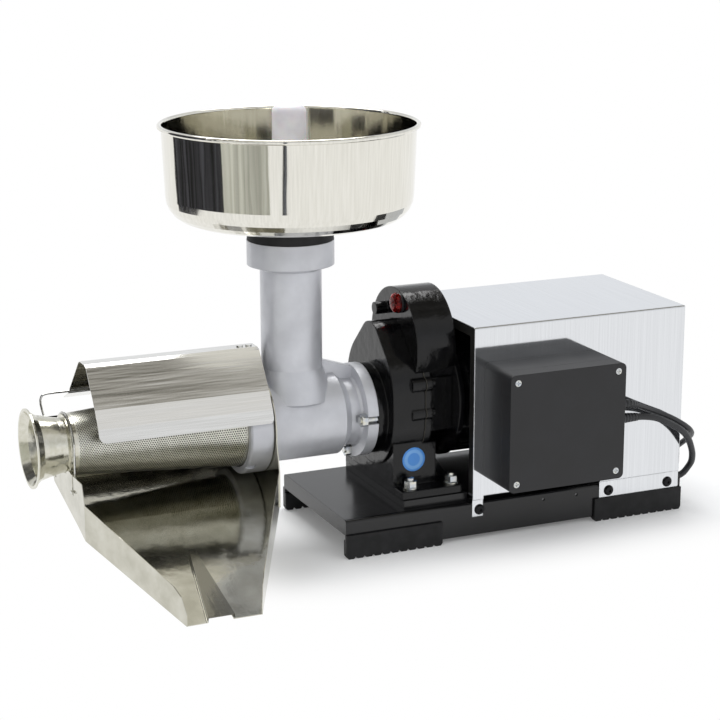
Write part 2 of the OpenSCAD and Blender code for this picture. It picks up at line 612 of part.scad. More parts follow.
module press_body() color("#9c9da1") difference() {
  union() {
    x_turn([[0, nose_x], [nose_r - 1.5, nose_x], [nose_r, nose_x + 1.5], [nose_r, ring_x1 - 1],
      [barrel_r, ring_x1 - 1], [barrel_r, waist_x - 6], [waist_r + 3, waist_x - 1], [waist_r, waist_x + 3],
      [waist_r, flange_x - flange_t - 3], [waist_r + 2, flange_x - flange_t], [flange_r, flange_x - flange_t],
      [flange_r, flange_x], [0, flange_x]]);
    z_cyl(axis_z, collar_top - collar_h + 1, neck_r, neck_x, axis_y);
    translate([neck_x, axis_y, axis_z + 24]) cylinder(r1 = barrel_r - 1, r2 = neck_r, h = 34, $fn = 96);
    translate([neck_x, axis_y, collar_top - collar_h - 5]) cylinder(r1 = neck_r, r2 = collar_r - 4, h = 5);
    z_cyl(collar_top - collar_h, collar_top, collar_r, neck_x, axis_y);
    y_prism(axis_y - 5, axis_y + 5) polygon([[neck_x + 20, axis_z + 30], [flange_x - flange_t + 1, axis_z + 30],
      [flange_x - flange_t + 1, axis_z + flange_r - 1.5], [neck_x + neck_r - 1, axis_z + 62]]);
  }
  x_cyl(nose_x - eps, waist_x - 6, bore_r);
  x_cyl(nose_x, flange_x + eps, shaft_r + 1.5);
  x_turn([[41.5, nose_x - eps], [45, nose_x - eps], [45, nose_x + 1.8], [41.5, nose_x + 1.8]]);
  z_cyl(axis_z, collar_top + eps, neck_bore, neck_x, axis_y);
  z_cyl(collar_top - collar_h + 4, collar_top + eps, seat_r, neck_x, axis_y);
  x_ring(flange_x - 1, flange_x + eps, 35, 14);
  for (a = stud_angles) open_slot(a);
}

module flange_studs() color("silver") for (a = stud_angles) rotate_stud(a)
  x_cyl(flange_x - flange_t - 8, flange_x + 10, stud_r, 0, 0);
module flange_nuts() color("silver") for (a = stud_angles) rotate_stud(a) difference() {
  x_hex(flange_x - flange_t - 6.5, flange_x - flange_t, 13, 0, 0);
  x_cyl(flange_x - flange_t - 7, flange_x - flange_t + eps, stud_r, 0, 0);
}

// Ring nut, cone, outlet and auger

module ring_nut() color("#aeb0b4") difference() {
  x_turn([[cone_r1 + 0.9, ring_x0], [ring_r - 2, ring_x0], [ring_r, ring_x0 + 2], [ring_r, ring_x1 - 1],
    [ring_r - 1, ring_x1], [nose_r + run, ring_x1], [nose_r + run, nose_x - cone_flange],
    [cone_r1 + 0.9, nose_x - cone_flange]]);
  for (a = [45 : 90 : 315]) translate([ring_x0 - eps, axis_y, axis_z]) rotate([a, 0, 0])
    translate([0, ring_r - 2.5, -4]) cube([10, 5, 8]);
}
module cone_seal() color("#b7442f") x_ring(nose_x, nose_x + 1.8, 45, 41.5);

module filter_cone() color("#b4b5b0") x_turn([[cone_r1 - sheet_t, nose_x], [nose_r - gap, nose_x],
  [nose_r - gap, nose_x - cone_flange], [cone_r1, nose_x - cone_flange], [cone_r2, cone_x],
  [cone_r2 - sheet_t, cone_x], [cone_r1 - sheet_t, nose_x - cone_flange]]);

module waste_outlet() color("#d8d6cc") {
  r0 = outlet_r;
  x1 = cone_x - disc_t;
  x2 = x1 - root_w;
  x_turn([[r0 - sheet_t, cone_x], [cone_r2, cone_x], [cone_r2, x1], [root_r, x1], [root_r, x2],
    [r0 + 0.3, x2], [r0 + 1.5, x2 - 8], [r0 + 6.5, outlet_x + 9], [flare_r - 2, outlet_x + 2],
    [flare_r, outlet_x + 1.6], [flare_r, outlet_x], [flare_r - 3, outlet_x],
    [r0 + 5.4, outlet_x + 8.6], [r0 + 0.7, x2 - 8.4], [r0 - sheet_t, x2]]);
}

// Auger: one wedge-shaped flight swept round a core that thickens towards the outlet

auger_x0 = cone_x + 6;
auger_x1 = waist_x - 7;
auger_pitch = 52;
auger_rings = round(14 * (auger_x1 - auger_x0) / auger_pitch);
function cone_share(x) = min(1, max(0, (nose_x - 3 - x) / (nose_x - 3 - auger_x0)));
function core_r(x) = 15 + 5 * cone_share(x);
function flight_r(x) = x > nose_x - 3 ? bore_r - 1
  : cone_r1 - sheet_t - 1.5 - (cone_r1 - cone_r2) * cone_share(x);
function auger_section(x) = let (c = core_r(x), r = flight_r(x), w = asin(9 / r)) concat(
  [[c, -28], [r, -w], [r, w], [c, 28]], [for (a = [52 : 23.27 : 310]) [c, a]]);
module auger() color("#e9e7de") difference() {
  rings = [for (i = [0 : auger_rings]) let (x = auger_x0 + i * (auger_x1 - auger_x0) / auger_rings)
    [for (p = auger_section(x)) let (a = p[1] - 360 * (x - auger_x0) / auger_pitch)
      [x, axis_y + p[0] * cos(a), axis_z + p[0] * sin(a)]]];
  n = len(rings[0]);
  polyhedron(points = [for (ring = rings) each ring],
    faces = concat([[for (k = [n - 1 : -1 : 0]) k]], [[for (k = [0 : n - 1]) auger_rings * n + k]],
      [for (i = [0 : auger_rings - 1], k = [0 : n - 1]) let (m = (k + 1) % n) each
        [[i * n + k, i * n + m, (i + 1) * n + m], [i * n + k, (i + 1) * n + m, (i + 1) * n + k]]]),
    convexity = 12);
  x_cyl(auger_x1 - 40, auger_x1 + eps, 9.2);
}
module auger_shank() color("#c4c6c9") {
  x_cyl(auger_x1 - 38, 30, 9);
  translate([29.5, axis_y - 6.95, axis_z - 6.95]) cube([21, 13.9, 13.9]);
}

// Motor cover: two sides, top and end in one folded sheet, three tabs a side

module motor_cover() color("#c9cbce") {
  y0 = -cover_out;
  y1 = base_w + cover_out;
  difference() {
    x_prism(cover_x0, cover_x1) round_rect(y0, tab_top - 20, y1, cover_top, 2.5);
    x_prism(cover_x0 + cover_t, cover_x1 - cover_t)
      round_rect(y0 + cover_t, tab_top - 21, y1 - cover_t, cover_top - cover_t, 1.4);
    x_prism(cover_x0 - eps, cover_x0 + 2)
      round_rect(y0 + 11, tab_top - 21, y1 - 11, cover_top - 11, 3);
    translate([cover_x0 - eps, y0 - eps, 0]) cube([cover_x1, y1 + 20, tab_top]);
    for (z = [80 : 14 : 206], y = [axis_y - 52, axis_y + 8]) x_prism(cover_x1 - 3, cover_x1 + 1)
      round_rect(y, z, y + 44, z + 5, 2.4);
  }
  translate([cover_x1 - cover_t, 8, base_top + 0.2]) cube([cover_t, base_w - 16, tab_top - base_top + 1]);
  for (far = [0, 1]) translate([0, far * base_w, 0]) mirror([0, far, 0]) {
    cover_tab(cover_x0, cover_x0 + 13);
    cover_tab(tab_screws[1] - 12, cover_x1);
  }
}
module cover_tab(x0, x1) difference() {
  union() {
    translate([x0, -cover_out, base_top + 4]) cube([x1 - x0, cover_t, tab_top - base_top - 3]);
    translate([x0, -cover_out, base_top + 3]) cube([x1 - x0, cover_out, cover_t]);
    translate([x0, -cover_t, tab_bottom]) cube([x1 - x0, cover_t, base_top + 4 - tab_bottom]);
  }
  for (x = tab_screws) y_cyl(-10, 1, 2.6, x, tab_screw_z);
}
module cover_screws() color("#1d1d1f") for (x = tab_screws, far = [0, 1])
  translate([0, far * base_w, 0]) mirror([0, far, 0]) difference() {
    union() {
      y_cyl(-cover_t - 1, base_t + 4, 2.5, x, tab_screw_z);
      translate([x, -cover_t, tab_screw_z]) rotate([90, 0, 0])
        rotate_extrude() polygon([[0, 0], [6, 0], [6, 0.6], [4.6, 2.6], [0, 3.4]]);
    }
    translate([x, -cover_t - 1.6, tab_screw_z]) rotate([90, 0, 0]) cylinder(r = 2, h = 5, $fn = 6);
  }

// Switch on the hump: round body, rocker under a clear boot

module switch_body() color("#0f0f10") {
  difference() {
    union() {
      x_cyl(hump_x - 2.5, hump_x, 11.5, lens_y, lens_z);
      x_cyl(hump_x - eps, hump_x + 13, 10, lens_y, lens_z);
    }
    translate([hump_x - 4, lens_y - 5.5, lens_z - 7.5]) cube([12, 11, 15]);
  }
  y_cyl(lens_y - 6, lens_y + 6, 1, hump_x + 1, lens_z);
}
module switch_rocker() color("#c4141c") difference() {
  translate([hump_x + 1, lens_y, lens_z]) rotate([0, -10, 0])
    y_prism(-5.1, 5.1)
      polygon([[-4.2, -6.6], [-3.2, -3], [-2.9, 0], [-3.2, 3], [-4.2, 6.6], [2, 5], [3.5, 0], [2, -5]]);
  y_cyl(lens_y - 6, lens_y + 6, 1.05, hump_x + 1, lens_z);
}
module switch_boot() color("#e9a0a0", 0.5) x_turn([[10.4, hump_x - 2.5], [11.5, hump_x - 2.5],
  [11.5, hump_x - 4], [10.4, hump_x - 7], [7, hump_x - 9.6], [0, hump_x - 10.6], [0, hump_x - 9.8],
  [6.6, hump_x - 8.9], [9.6, hump_x - 6.5], [10.4, hump_x - 4.5]], lens_y, lens_z);

// Control box

box_y1 = -cover_out - 2;
box_y0 = box_y1 - box_d;
module box_outline(d = 0, r = 6)
  round_rect(box_x + d, box_z + d, box_x + box_w - d, box_z + box_h - d, r);
box_corners = [for (x = [box_x + 9, box_x + box_w - 9], z = [box_z + 9, box_z + box_h - 9]) [x, z]];
module box_back_plate() color("#171718") difference() {
  y_prism(box_y1, -cover_out) box_outline(0, 6);
}
module box_body() color("#1a1a1b") difference() {
  y_prism(box_y0, box_y1) box_outline();
  difference() {
    y_prism(box_y0 - eps, box_y1 - box_wall) box_outline(box_wall, 4);
    for (c = box_corners) y_cyl(box_y0 - 1, box_y1, 6, c[0], c[1]);
  }
  for (c = box_corners) y_cyl(box_y0 - 1, box_y0 + 14, 1.6, c[0], c[1]);
  for (z = gland_z) x_cyl(box_x + box_w - 5, box_x + box_w + eps, 6, gland_y, z);
}
module box_lid() color("#1a1a1b") difference() {
  y_prism(box_y0 - lid_d, box_y0) box_outline();
  difference() {
    y_prism(box_y0 - lid_d + box_wall, box_y0 + eps) box_outline(box_wall, 4);
    for (c = box_corners) y_cyl(box_y0 - lid_d, box_y0 + 1, 6, c[0], c[1]);
  }
  for (c = box_corners) {
    y_cyl(box_y0 - lid_d - eps, box_y0 + 1, 1.9, c[0], c[1]);
    y_cyl(box_y0 - lid_d - eps, box_y0 - lid_d + 2, 3.8, c[0], c[1]);
  }
}
module lid_screws() color("#c9c9c4") for (c = box_corners) difference() {
  union() {
    y_cyl(box_y0 - lid_d + 1.6, box_y0 + 13, 1.6, c[0], c[1]);
    y_cyl(box_y0 - lid_d + 0.2, box_y0 - lid_d + 2, 3.6, c[0], c[1]);
  }
  for (a = [0, 90]) translate([c[0], box_y0 - lid_d, c[1]]) rotate([0, a, 0])
    translate([-2.4, -1, -0.5]) cube([4.8, 2.2, 1]);
}
module run_capacitor() color("#d9d9d2") {
  y_mid = box_y1 - box_wall - 18;
  x_cyl(box_x + 22, box_x + 100, 17.7, y_mid, box_z + 42);
  for (s = [-4, 4]) translate([box_x + 99, y_mid + s - 0.4, box_z + 39]) cube([9, 0.8, 6]);
}
module cable_glands() color("#151516") for (i = [0, 1]) {
  x0 = box_x + box_w;
  r = i == 0 ? cord_r : link_r;
  x_turn([[0, x0 - 4], [6, x0 - 4], [6, x0], [7.6, x0], [7.6, x0 + 6], [7, x0 + 6.5], [6.6, x0 + gland_l - 4],
    [r + 1.2, x0 + gland_l], [0, x0 + gland_l]], gland_y, gland_z[i]);
}
function grommet_profile(a, b) = [[link_r + run, a - grommet_lip], [6.9, a - grommet_lip], [6.9, a],
  [5.5, a], [5.5, b], [6.9, b], [6.9, b + grommet_lip], [link_r + run, b + grommet_lip]];
module cable_grommets() color("#101011") {
  x_turn(grommet_profile(base_l - base_t, base_l), grommet_y, grommet_z);
  translate([riser_hole[0], riser_hole[1], 0]) rotate_extrude()
    polygon(grommet_profile(base_top - base_t, base_top));
}

// Leads

module link_cable() color("#121213") tube(link_route, link_r, 1);
module mains_cord() color("#121213") tube(mains_route, cord_r);
module cord_tail() color("#121213") tube(tail_route, cord_r, 1);
module cord_coil() color("#121213") translate([coil_c[0], coil_c[1], 0]) rotate_extrude($fn = 64)
  polygon([[coil_r[0], 3], [coil_r[0] + 3, 0], [coil_r[1] - 3, 0], [coil_r[1], 3],
    [coil_r[1], coil_h - 3], [coil_r[1] - 3, coil_h], [coil_r[0] + 3, coil_h], [coil_r[0], coil_h - 3]]);
module mains_plug() color("#141415") translate(plug_c) rotate([0, 90, 0]) {
  rotate_extrude() polygon([[0, -22], [cord_r + 1.5, -22], [8, -8], [13, -2], [18.5, 2], [18.5, 18], [0, 18]]);
  for (s = [-9.5, 9.5]) translate([0, s, 17.5]) cylinder(r = 2.4, h = 19.5);
}

// Hopper, rubber ring and pusher

module hopper() color("#cfd1d4") {
  wall = 1;
  r = rim_r - 4;
  rb = r - 3;
  dish_z = collar_top + rubber_h;
  corner = [for (a = [0 : -15 : -90]) [rb - bowl_round + bowl_round * cos(a), floor_z + bowl_round + bowl_round * sin(a)]];
  inner = [for (a = [-90 : 15 : 0]) [rb - bowl_round + (bowl_round - wall) * cos(a),
    floor_z + bowl_round + (bowl_round - wall) * sin(a)]];
  translate([neck_x, axis_y, 0]) rotate_extrude($fn = 96) polygon(concat(
    [[r, rim_z - rim_bead]], corner, [[collar_r - 2, dish_z], [spigot_r, dish_z], [spigot_r, collar_top - 18],
      [spigot_r - wall, collar_top - 18], [spigot_r - wall, dish_z + wall]],
    [[collar_r - 2, dish_z + wall]], inner, [[r - wall, rim_z - rim_bead]]));
  translate([neck_x, axis_y, rim_z - rim_bead]) rotate_extrude($fn = 96)
    translate([rim_r - rim_bead, 0]) circle(rim_bead, $fn = 24);
}
module hopper_ring() color("#18181a") difference() {
  z_cyl(collar_top, collar_top + rubber_h, collar_r - 0.5, neck_x, axis_y);
  z_cyl(collar_top - eps, collar_top + rubber_h + eps, spigot_r, neck_x, axis_y);
}
pusher_z = axis_z + bore_r - 1 + gap;
module pusher() color("#eef0ee") translate([neck_x, axis_y, 0]) rotate_extrude() polygon(concat(
  [[0, pusher_z], [neck_bore - 3.5, pusher_z], [neck_bore - 0.6, pusher_z + 3], [neck_bore - 0.6, pusher_z + 7],
   [pusher_r, pusher_z + 12]],
  [for (a = [0 : 15 : 90]) [pusher_r - 8 + 8 * cos(a), pusher_top - 8 + 8 * sin(a)]], [[0, pusher_top]]));

// Splash guard: one folded sheet, carried by a saddle on the ring nut and a wire clip

guard_line = [[-57, 13], [-52, 27], [-42, 45], [-34, 56], [-14, 83], [-8, 85], [8, 85], [14, 83],
  [52, 46], [60, 38], [78, 29]];
function offset_line(p, d) = [for (i = [0 : len(p) - 1])
  let (a = unit(point_at(p, i) - point_at(p, i - 1) + (i == 0 ? p[1] - p[0] : [0, 0])),
    b = unit(point_at(p, i + 1) - point_at(p, i) + (i == len(p) - 1 ? p[i] - p[i - 1] : [0, 0])),
    m = unit(a + b)) p[i] + d / (m * b) * [-m[1], m[0]]];
module strip(line, t) polygon(concat(line, [for (i = [len(line) - 1 : -1 : 0]) offset_line(line, t)[i]]));
module at_axis(x0, x1) x_prism(x0, x1) translate([axis_y, axis_z]) children();
// Rounds a lower corner of the guard: s says on which side of x the sheet lies
module guard_corner(x, s, r) y_prism(axis_y - 70, axis_y - 40) translate([x, axis_z + guard_line[0][1]])
  polygon(concat([[s * r, -1], [-s, -1], [-s, r]], [for (a = [90 : -15 : 0]) [s * (r - r * sin(a)), r - r * cos(a)]]));
module splash_guard() color("#cfd1d4") difference() {
  at_axis(guard_x0, guard_x1) strip(guard_line, -guard_t);
  guard_corner(guard_x0, 1, 8);
  guard_corner(guard_x1, -1, 5);
  for (x = rivet_x) z_cyl(axis_z + 80, axis_z + 90, 2, x, axis_y);
}
rivet_x = [ring_x0 + 8, ring_x1 - 8];
saddle_line = [[-44, 38], [-39.5, 39.5], [-13, 83 - guard_t - 1.6], [-7.6, 85 - guard_t - 1.4],
  [7.6, 85 - guard_t - 1.4], [13, 83 - guard_t - 1.6], [39.5, 39.5], [44, 38]];
module guard_saddle() color("#c5c7ca") {
  at_axis(ring_x0 + 2, ring_x1 - 2) intersection() {
    strip([for (p = saddle_line) p], 1.2);
    difference() {
      square([200, 400], center = true);
      circle(ring_r + gap, $fn = 96);
    }
  }
  for (x = rivet_x) {
    z_cyl(axis_z + 83, axis_z + 86, 2, x, axis_y);
    z_cyl(axis_z + 85, axis_z + 86.2, 3.6, x, axis_y);
  }
}
clip_y = axis_y + 55 - 0.72 * (guard_t + wire_r + 0.1);
clip_z = axis_z + 43 - 0.72 * (guard_t + wire_r + 0.1);
// The clip lies on the outlet's neck, clear of the bail's way
clip_x = cone_x - 17;
clip_rest = outlet_r + wire_r + 1.6;
clip_route = [[guard_x0 + 26, clip_y, clip_z], [guard_x0, clip_y, clip_z], [clip_x + 8, clip_y, clip_z],
  [clip_x + 2, clip_y, clip_z - 3], [clip_x, 139, 170], [clip_x, 128, 160],
  [clip_x, axis_y + clip_rest * cos(36), axis_z + clip_rest * sin(36)]];
module guard_clip() color("#c5c7ca") tube(clip_route, wire_r, 2, 8);

// Tray: sloping floor, two converging walls, a raised back and a folded centre rib

rise = tan(tray_slope);
function floor_at(y) = tray_z + (y - lip_y) * rise;
wall_y = [15, 25];
back_y = [130, 158];
back_z = [floor_at(bend_y) + (back_y[0] - bend_y) * 0.25, axis_z + 12];
floor_line = [[bend_y, floor_at(bend_y)], [back_y[0], back_z[0]], [back_y[1], back_z[1]]];
// A flat wall standing on the floor from the lip at p0 to p1, drawn as (distance from p0, z)
module side_wall(p0, p1, far) {
  long = norm(p1 - p0);
  span = p1[1] - p0[1];
  translate([p0[0], p0[1], 0]) rotate([0, 0, atan2(span, p1[0] - p0[0])]) translate([0, far * guard_t, 0])
    rotate([90, 0, 0]) linear_extrude(guard_t) polygon([[0, tray_z - 0.2], [long, tray_z - 0.2 + span * rise],
      [long, tray_z + span * rise + tray_wall], [0.12 * long, tray_z + 0.12 * span * rise + tray_wall * 0.8],
      [0.05 * long, tray_z + 0.05 * span * rise + tray_wall * 0.68], [0, tray_z + tray_wall * 0.3]]);
}
rib_h = 6;
module on_floor(z0, z1) translate([0, lip_y, tray_z]) rotate([tray_slope, 0, 0])
  translate([0, 0, z0]) linear_extrude(z1 - z0) children();
module drip_tray() color("#b9babb") {
  t = guard_t;
  // floor sloping to the lip, shallower under the cone, then the raised back: one bent sheet
  difference() {
    union() {
      intersection() {
        x_prism(tray_x0 - 1, tray_x1) strip(concat([[lip_y - 1, floor_at(lip_y - 1)]], floor_line), t);
        linear_extrude(axis_z + 80) polygon([[lip_x0 + t / 2, lip_y], [lip_x1 - t / 2, lip_y],
          [tray_x1 - t / 2, wall_y[1]], [tray_x1, wall_y[1] + 1], [tray_x1, base_w],
          [tray_x0 + t / 2, base_w], [tray_x0 + t / 2, wall_y[0]]]);
      }
      on_floor(t / 2, rib_h) polygon([[-187, 112], [-181, 112], [-177, 0.5], [-205, 0.5]]);
    }
    // the rib is pressed up from below, open at the lip
    on_floor(-2, rib_h - t) polygon([[-186, 111], [-182, 111], [-177.9, -2], [-204.4, -2]]);
  }
  side_wall([lip_x0, lip_y], [tray_x0, wall_y[0]], 0);
  side_wall([lip_x1, lip_y], [tray_x1, wall_y[1]], 1);
  // left end wall, notched round the outlet and slotted to its top for the bail's legs
  x_prism(tray_x0, tray_x0 + t) difference() {
    polygon(concat([[wall_y[0], floor_at(wall_y[0]) - 0.2]], [for (p = floor_line) p + [0.1, -0.2]],
      [[back_y[1] - 20, back_z[1] - 0.2],
      [axis_y + outlet_r, axis_z - 12],
      [axis_y - outlet_r, axis_z - 24], [wall_y[0] + 8, floor_at(wall_y[0]) + tray_wall + 20],
      [wall_y[0], floor_at(wall_y[0]) + tray_wall]]));
    translate([axis_y, axis_z]) circle(outlet_r + 2, $fn = 64);
    for (s = [-1, 1]) translate([axis_y + s * bail_r - 2, hook_z - 4]) square([4, tray_wall + 60]);
  }
}
module tray_end_plate() color("#c5c7ca") difference() {
  x_prism(end_plate_x, end_plate_x + 1.2) {
    translate([axis_y, axis_z]) circle(barrel_r + 12, $fn = 96);
    polygon([[wall_y[1], floor_at(wall_y[1])], floor_line[0], floor_line[1], floor_line[2],
      [axis_y + barrel_r, axis_z + 20], [axis_y - barrel_r - 8, axis_z + 8],
      [wall_y[1], floor_at(wall_y[1]) + tray_wall]]);
  }
  x_cyl(end_plate_x - eps, end_plate_x + 3, barrel_r + run);
  translate([end_plate_x - eps, axis_y - 27, axis_z]) cube([3, 54, 80]);
}
leg_y = bail_r;
pin_x = tray_x0 - wire_r - 0.25;
bail_route = concat([[pin_x, axis_y - leg_y, hook_z], [tray_x0 + 0.4, axis_y - leg_y, hook_z],
    [bail_x, axis_y - leg_y, hook_z + 4], [bail_x, axis_y - leg_y, axis_z - 12]],
  [for (a = [180 : -15 : 0]) [bail_x, axis_y + bail_r * cos(a), axis_z + bail_r * sin(a)]],
  [[bail_x, axis_y + leg_y, axis_z - 12], [bail_x, axis_y + leg_y, hook_z + 4],
    [tray_x0 + 0.4, axis_y + leg_y, hook_z], [pin_x, axis_y + leg_y, hook_z]]);
module tray_bail() color("#c5c7ca") {
  tube(bail_route, wire_r, 1, 8, [0, 1, 0]);
  // the wire's ends are turned outwards, and it swings on them
  y_cyl(axis_y - leg_y - 6, axis_y - leg_y + 1, wire_r, pin_x, hook_z);
  y_cyl(axis_y + leg_y - 1, axis_y + leg_y + 6, wire_r, pin_x, hook_z);
}

place() base_frame();
place() rubber_feet();
place() riser_plate();
place() gearbox_front_case();
place() gearbox_gasket();
place() gearbox_rear_case();
place() case_screws();
place() foot_nuts();
place() output_bearings();
place() middle_bearings();
place() output_seal();
place() flange_studs();
place() flange_nuts();
place() press_body();
place() ring_nut();
place() cone_seal();
place() filter_cone();
place() waste_outlet();
place() auger();
place() auger_shank();
place() output_shaft();
place() output_wheel();
place() middle_shaft();
place() middle_wheel();
place() rotor_shaft();
place() motor_pinion();
place() rotor();
place() cooling_fan();
place() motor_bearings();
place() motor_front_bracket();
place() stator();
place() motor_frame();
place() motor_rear_bracket();
place() motor_cover();
place() cover_screws();
place() switch_body();
place() switch_rocker();
place() switch_boot();
place() box_back_plate();
place() box_body();
place() box_lid();
place() lid_screws();
place() run_capacitor();
place() cable_glands();
place() cable_grommets();
place() link_cable();
place() mains_cord();
place() cord_coil();
place() cord_tail();
place() mains_plug();
place() hopper();
place() hopper_ring();
place() pusher();
place() splash_guard();
place() guard_saddle();
place() guard_clip();
place() drip_tray();
place() tray_end_plate();
place() tray_bail();
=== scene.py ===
import math

import bpy
from mathutils import Matrix, Vector


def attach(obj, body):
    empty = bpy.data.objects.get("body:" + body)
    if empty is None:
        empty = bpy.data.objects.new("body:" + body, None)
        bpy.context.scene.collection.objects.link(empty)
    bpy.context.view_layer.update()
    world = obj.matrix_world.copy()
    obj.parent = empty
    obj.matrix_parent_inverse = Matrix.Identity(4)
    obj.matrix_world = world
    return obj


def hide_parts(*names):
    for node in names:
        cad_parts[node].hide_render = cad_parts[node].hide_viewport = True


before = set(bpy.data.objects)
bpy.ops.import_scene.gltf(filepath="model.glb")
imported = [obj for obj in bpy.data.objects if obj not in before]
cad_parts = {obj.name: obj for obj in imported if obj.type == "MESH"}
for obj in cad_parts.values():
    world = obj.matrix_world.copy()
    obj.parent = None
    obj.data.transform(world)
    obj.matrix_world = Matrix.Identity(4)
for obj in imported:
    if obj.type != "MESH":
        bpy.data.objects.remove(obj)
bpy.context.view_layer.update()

# Camera. A medium telephoto a little above the hopper's rim, turned 24 degrees to the left of the
# press and 15 degrees down, level to a tenth of a degree.
BASE_CORNER = (50.8, 45.25, 0.0)


def place(x, y, z):
    """The press has the middle of its box over the origin. Sizes are in mm from the base's left front
    corner on the table, as on the drawing, and this turns them to metres."""
    return Vector((x - BASE_CORNER[0], y - BASE_CORNER[1], z - BASE_CORNER[2])) / 1000


TURN = 0.412112
DOWN = 0.255620
ROLL = -0.002106
EYE = (-784.24, -1832.31, 741.15)
SENSOR = 36
PICTURE_PIXELS = 720
FOCAL_PIXELS = 1976.871
ahead = Vector((math.sin(TURN) * math.cos(DOWN), math.cos(TURN) * math.cos(DOWN), -math.sin(DOWN)))
side = Vector((math.cos(TURN), -math.sin(TURN), 0))
above = side.cross(ahead)
picture_side = side * math.cos(ROLL) + above * math.sin(ROLL)
picture_up = above * math.cos(ROLL) - side * math.sin(ROLL)
camera_data = bpy.data.cameras.new("studio_camera")
camera_data.sensor_width = SENSOR
camera_data.lens = SENSOR * FOCAL_PIXELS / PICTURE_PIXELS
camera_data.clip_start = 0.05
camera_data.clip_end = 100
camera = bpy.data.objects.new("studio_camera", camera_data)
bpy.context.scene.collection.objects.link(camera)
turned = Matrix((picture_side, picture_up, -ahead)).transposed()
camera.matrix_world = Matrix.Translation(place(*EYE)) @ turned.to_4x4()
bpy.context.scene.camera = camera
bpy.context.scene.view_settings.view_transform = "Standard"


# Mains lead. Three-core flexible cord of 6.8 mm in black PVC, which leaves the upper gland of the
# control box through a ribbed sleeve, bends down over the end of the cover to the table and is wound
# up behind the press.
def srgb(code):
    """A hex colour as the eye sees it, turned to linear light."""
    parts = [int(code[i:i + 2], 16) / 255 for i in (1, 3, 5)]
    return tuple(c / 12.92 if c < 0.04045 else ((c + 0.055) / 1.055) ** 2.4 for c in parts) + (1,)


def shader_of(material):
    return material.node_tree.nodes["Principled BSDF"]


def new_material(name, **sockets):
    material = bpy.data.materials.new(name)
    material.use_nodes = True
    for socket, value in sockets.items():
        shader_of(material).inputs[socket.replace("_", " ")].default_value = value
    return material


def add(owner, kind, inputs=None, to=None, stops=None, **settings):
    """One node with its settings. An input is a number, a colour, a node or one of its outputs; `to`
    is the shader's socket that it feeds, and `stops` are the places and colours of a ramp."""
    tree = owner.node_tree
    made = tree.nodes.new("ShaderNode" + kind)
    for name, value in settings.items():
        setattr(made, name, value)
    for name, value in (inputs or {}).items():
        if isinstance(value, bpy.types.Node):
            value = value.outputs[0]
        if isinstance(value, bpy.types.NodeSocket):
            tree.links.new(value, made.inputs[name])
        else:
            made.inputs[name].default_value = value
    if stops:
        while len(made.color_ramp.elements) < len(stops):
            made.color_ramp.elements.new(1)
        for element, (position, code) in zip(made.color_ramp.elements, stops):
            element.position = position
            element.color = srgb(code)
    if to:
        tree.links.new(made.outputs[0], shader_of(owner).inputs[to])
    return made


def on_drawing(owner, stretch=(1, 1, 1)):
    """Where each point of the surface is on the drawing, in mm, pressed together or drawn out."""
    here = add(owner, "TexCoord")
    corner = [c * s for c, s in zip(BASE_CORNER, stretch)]
    scale = [1000 * s for s in stretch]
    return add(owner, "Mapping", {"Vector": here.outputs["Object"], "Location": corner, "Scale": scale})


def smooth_line(points, step):
    """A rounded line through the points, as a springy cord takes it, at about this step in mm."""
    points = [Vector(p) for p in points]
    ends = [points[0] * 2 - points[1]] + points + [points[-1] * 2 - points[-2]]
    line = []
    for a, b, c, d in zip(ends, ends[1:], ends[2:], ends[3:]):
        cuts = max(1, round((c - b).length / step))
        ka, kb, kc = ((q - p).length ** 0.5 for p, q in ((a, b), (b, c), (c, d)))
        out = (c - b) + kb * ((b - a) / ka - (c - a) / (ka + kb))
        back = (c - b) + kb * ((d - c) / kc - (d - b) / (kb + kc))
        for i in range(cuts):
            t = i / cuts
            line.append(b * (2 * t ** 3 - 3 * t ** 2 + 1) + out * (t ** 3 - 2 * t ** 2 + t)
                        + c * (3 * t ** 2 - 2 * t ** 3) + back * (t ** 3 - t ** 2))
    return line + [points[-1]]


def ease(t, start, end):
    f = min(max((t - start) / (end - start), 0), 1)
    return f * f * (3 - 2 * f)


COIL_MIDDLE = (340, 266.5)
COIL_REACH = 44.5
COIL_TURNS = 4.5
STRAND_PITCH = 6.9


def coil_point(turn):
    """Three strands lie on the table and wind inwards, then three on them wind out again."""
    strands = ease(turn, 0.72, 0.98) + ease(turn, 1.72, 1.98)
    strands = strands - ease(turn, 3.05, 3.35) - ease(turn, 4.05, 4.35)
    reach = COIL_REACH - STRAND_PITCH * strands
    angle = math.radians(-90 - 360 * turn)
    height = 4.0 - 0.4 * ease(turn, 0, 0.5) + STRAND_PITCH * ease(turn, 2.32, 2.7)
    return Vector((COIL_MIDDLE[0] + reach * math.cos(angle), COIL_MIDDLE[1] + reach * math.sin(angle),
                   height))


def cord_piece(name, line, thickness, material):
    """A cord as one open curve with a round section."""
    data = bpy.data.curves.new(name, "CURVE")
    data.dimensions = "3D"
    data.bevel_depth = thickness / 2000
    data.bevel_resolution = 3
    data.use_fill_caps = True
    spline = data.splines.new("POLY")
    spline.points.add(len(line) - 1)
    for point, p in zip(spline.points, line):
        point.co = (*place(*p), 1)
    spline.use_smooth = True
    data.materials.append(material)
    piece = bpy.data.objects.new(name, data)
    bpy.context.scene.collection.objects.link(piece)
    return piece


def line_length(line):
    return sum((b - a).length for a, b in zip(line, line[1:]))


def mesh_piece(name, points, faces, material, body):
    """A closed mesh in the drawing's mm, with its finish and the body that carries it."""
    data = bpy.data.meshes.new(name)
    data.from_pydata([place(*p) for p in points], [], faces)
    data.shade_smooth()
    data.materials.append(material)
    piece = bpy.data.objects.new(name, data)
    bpy.context.scene.collection.objects.link(piece)
    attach(piece, body)
    return piece


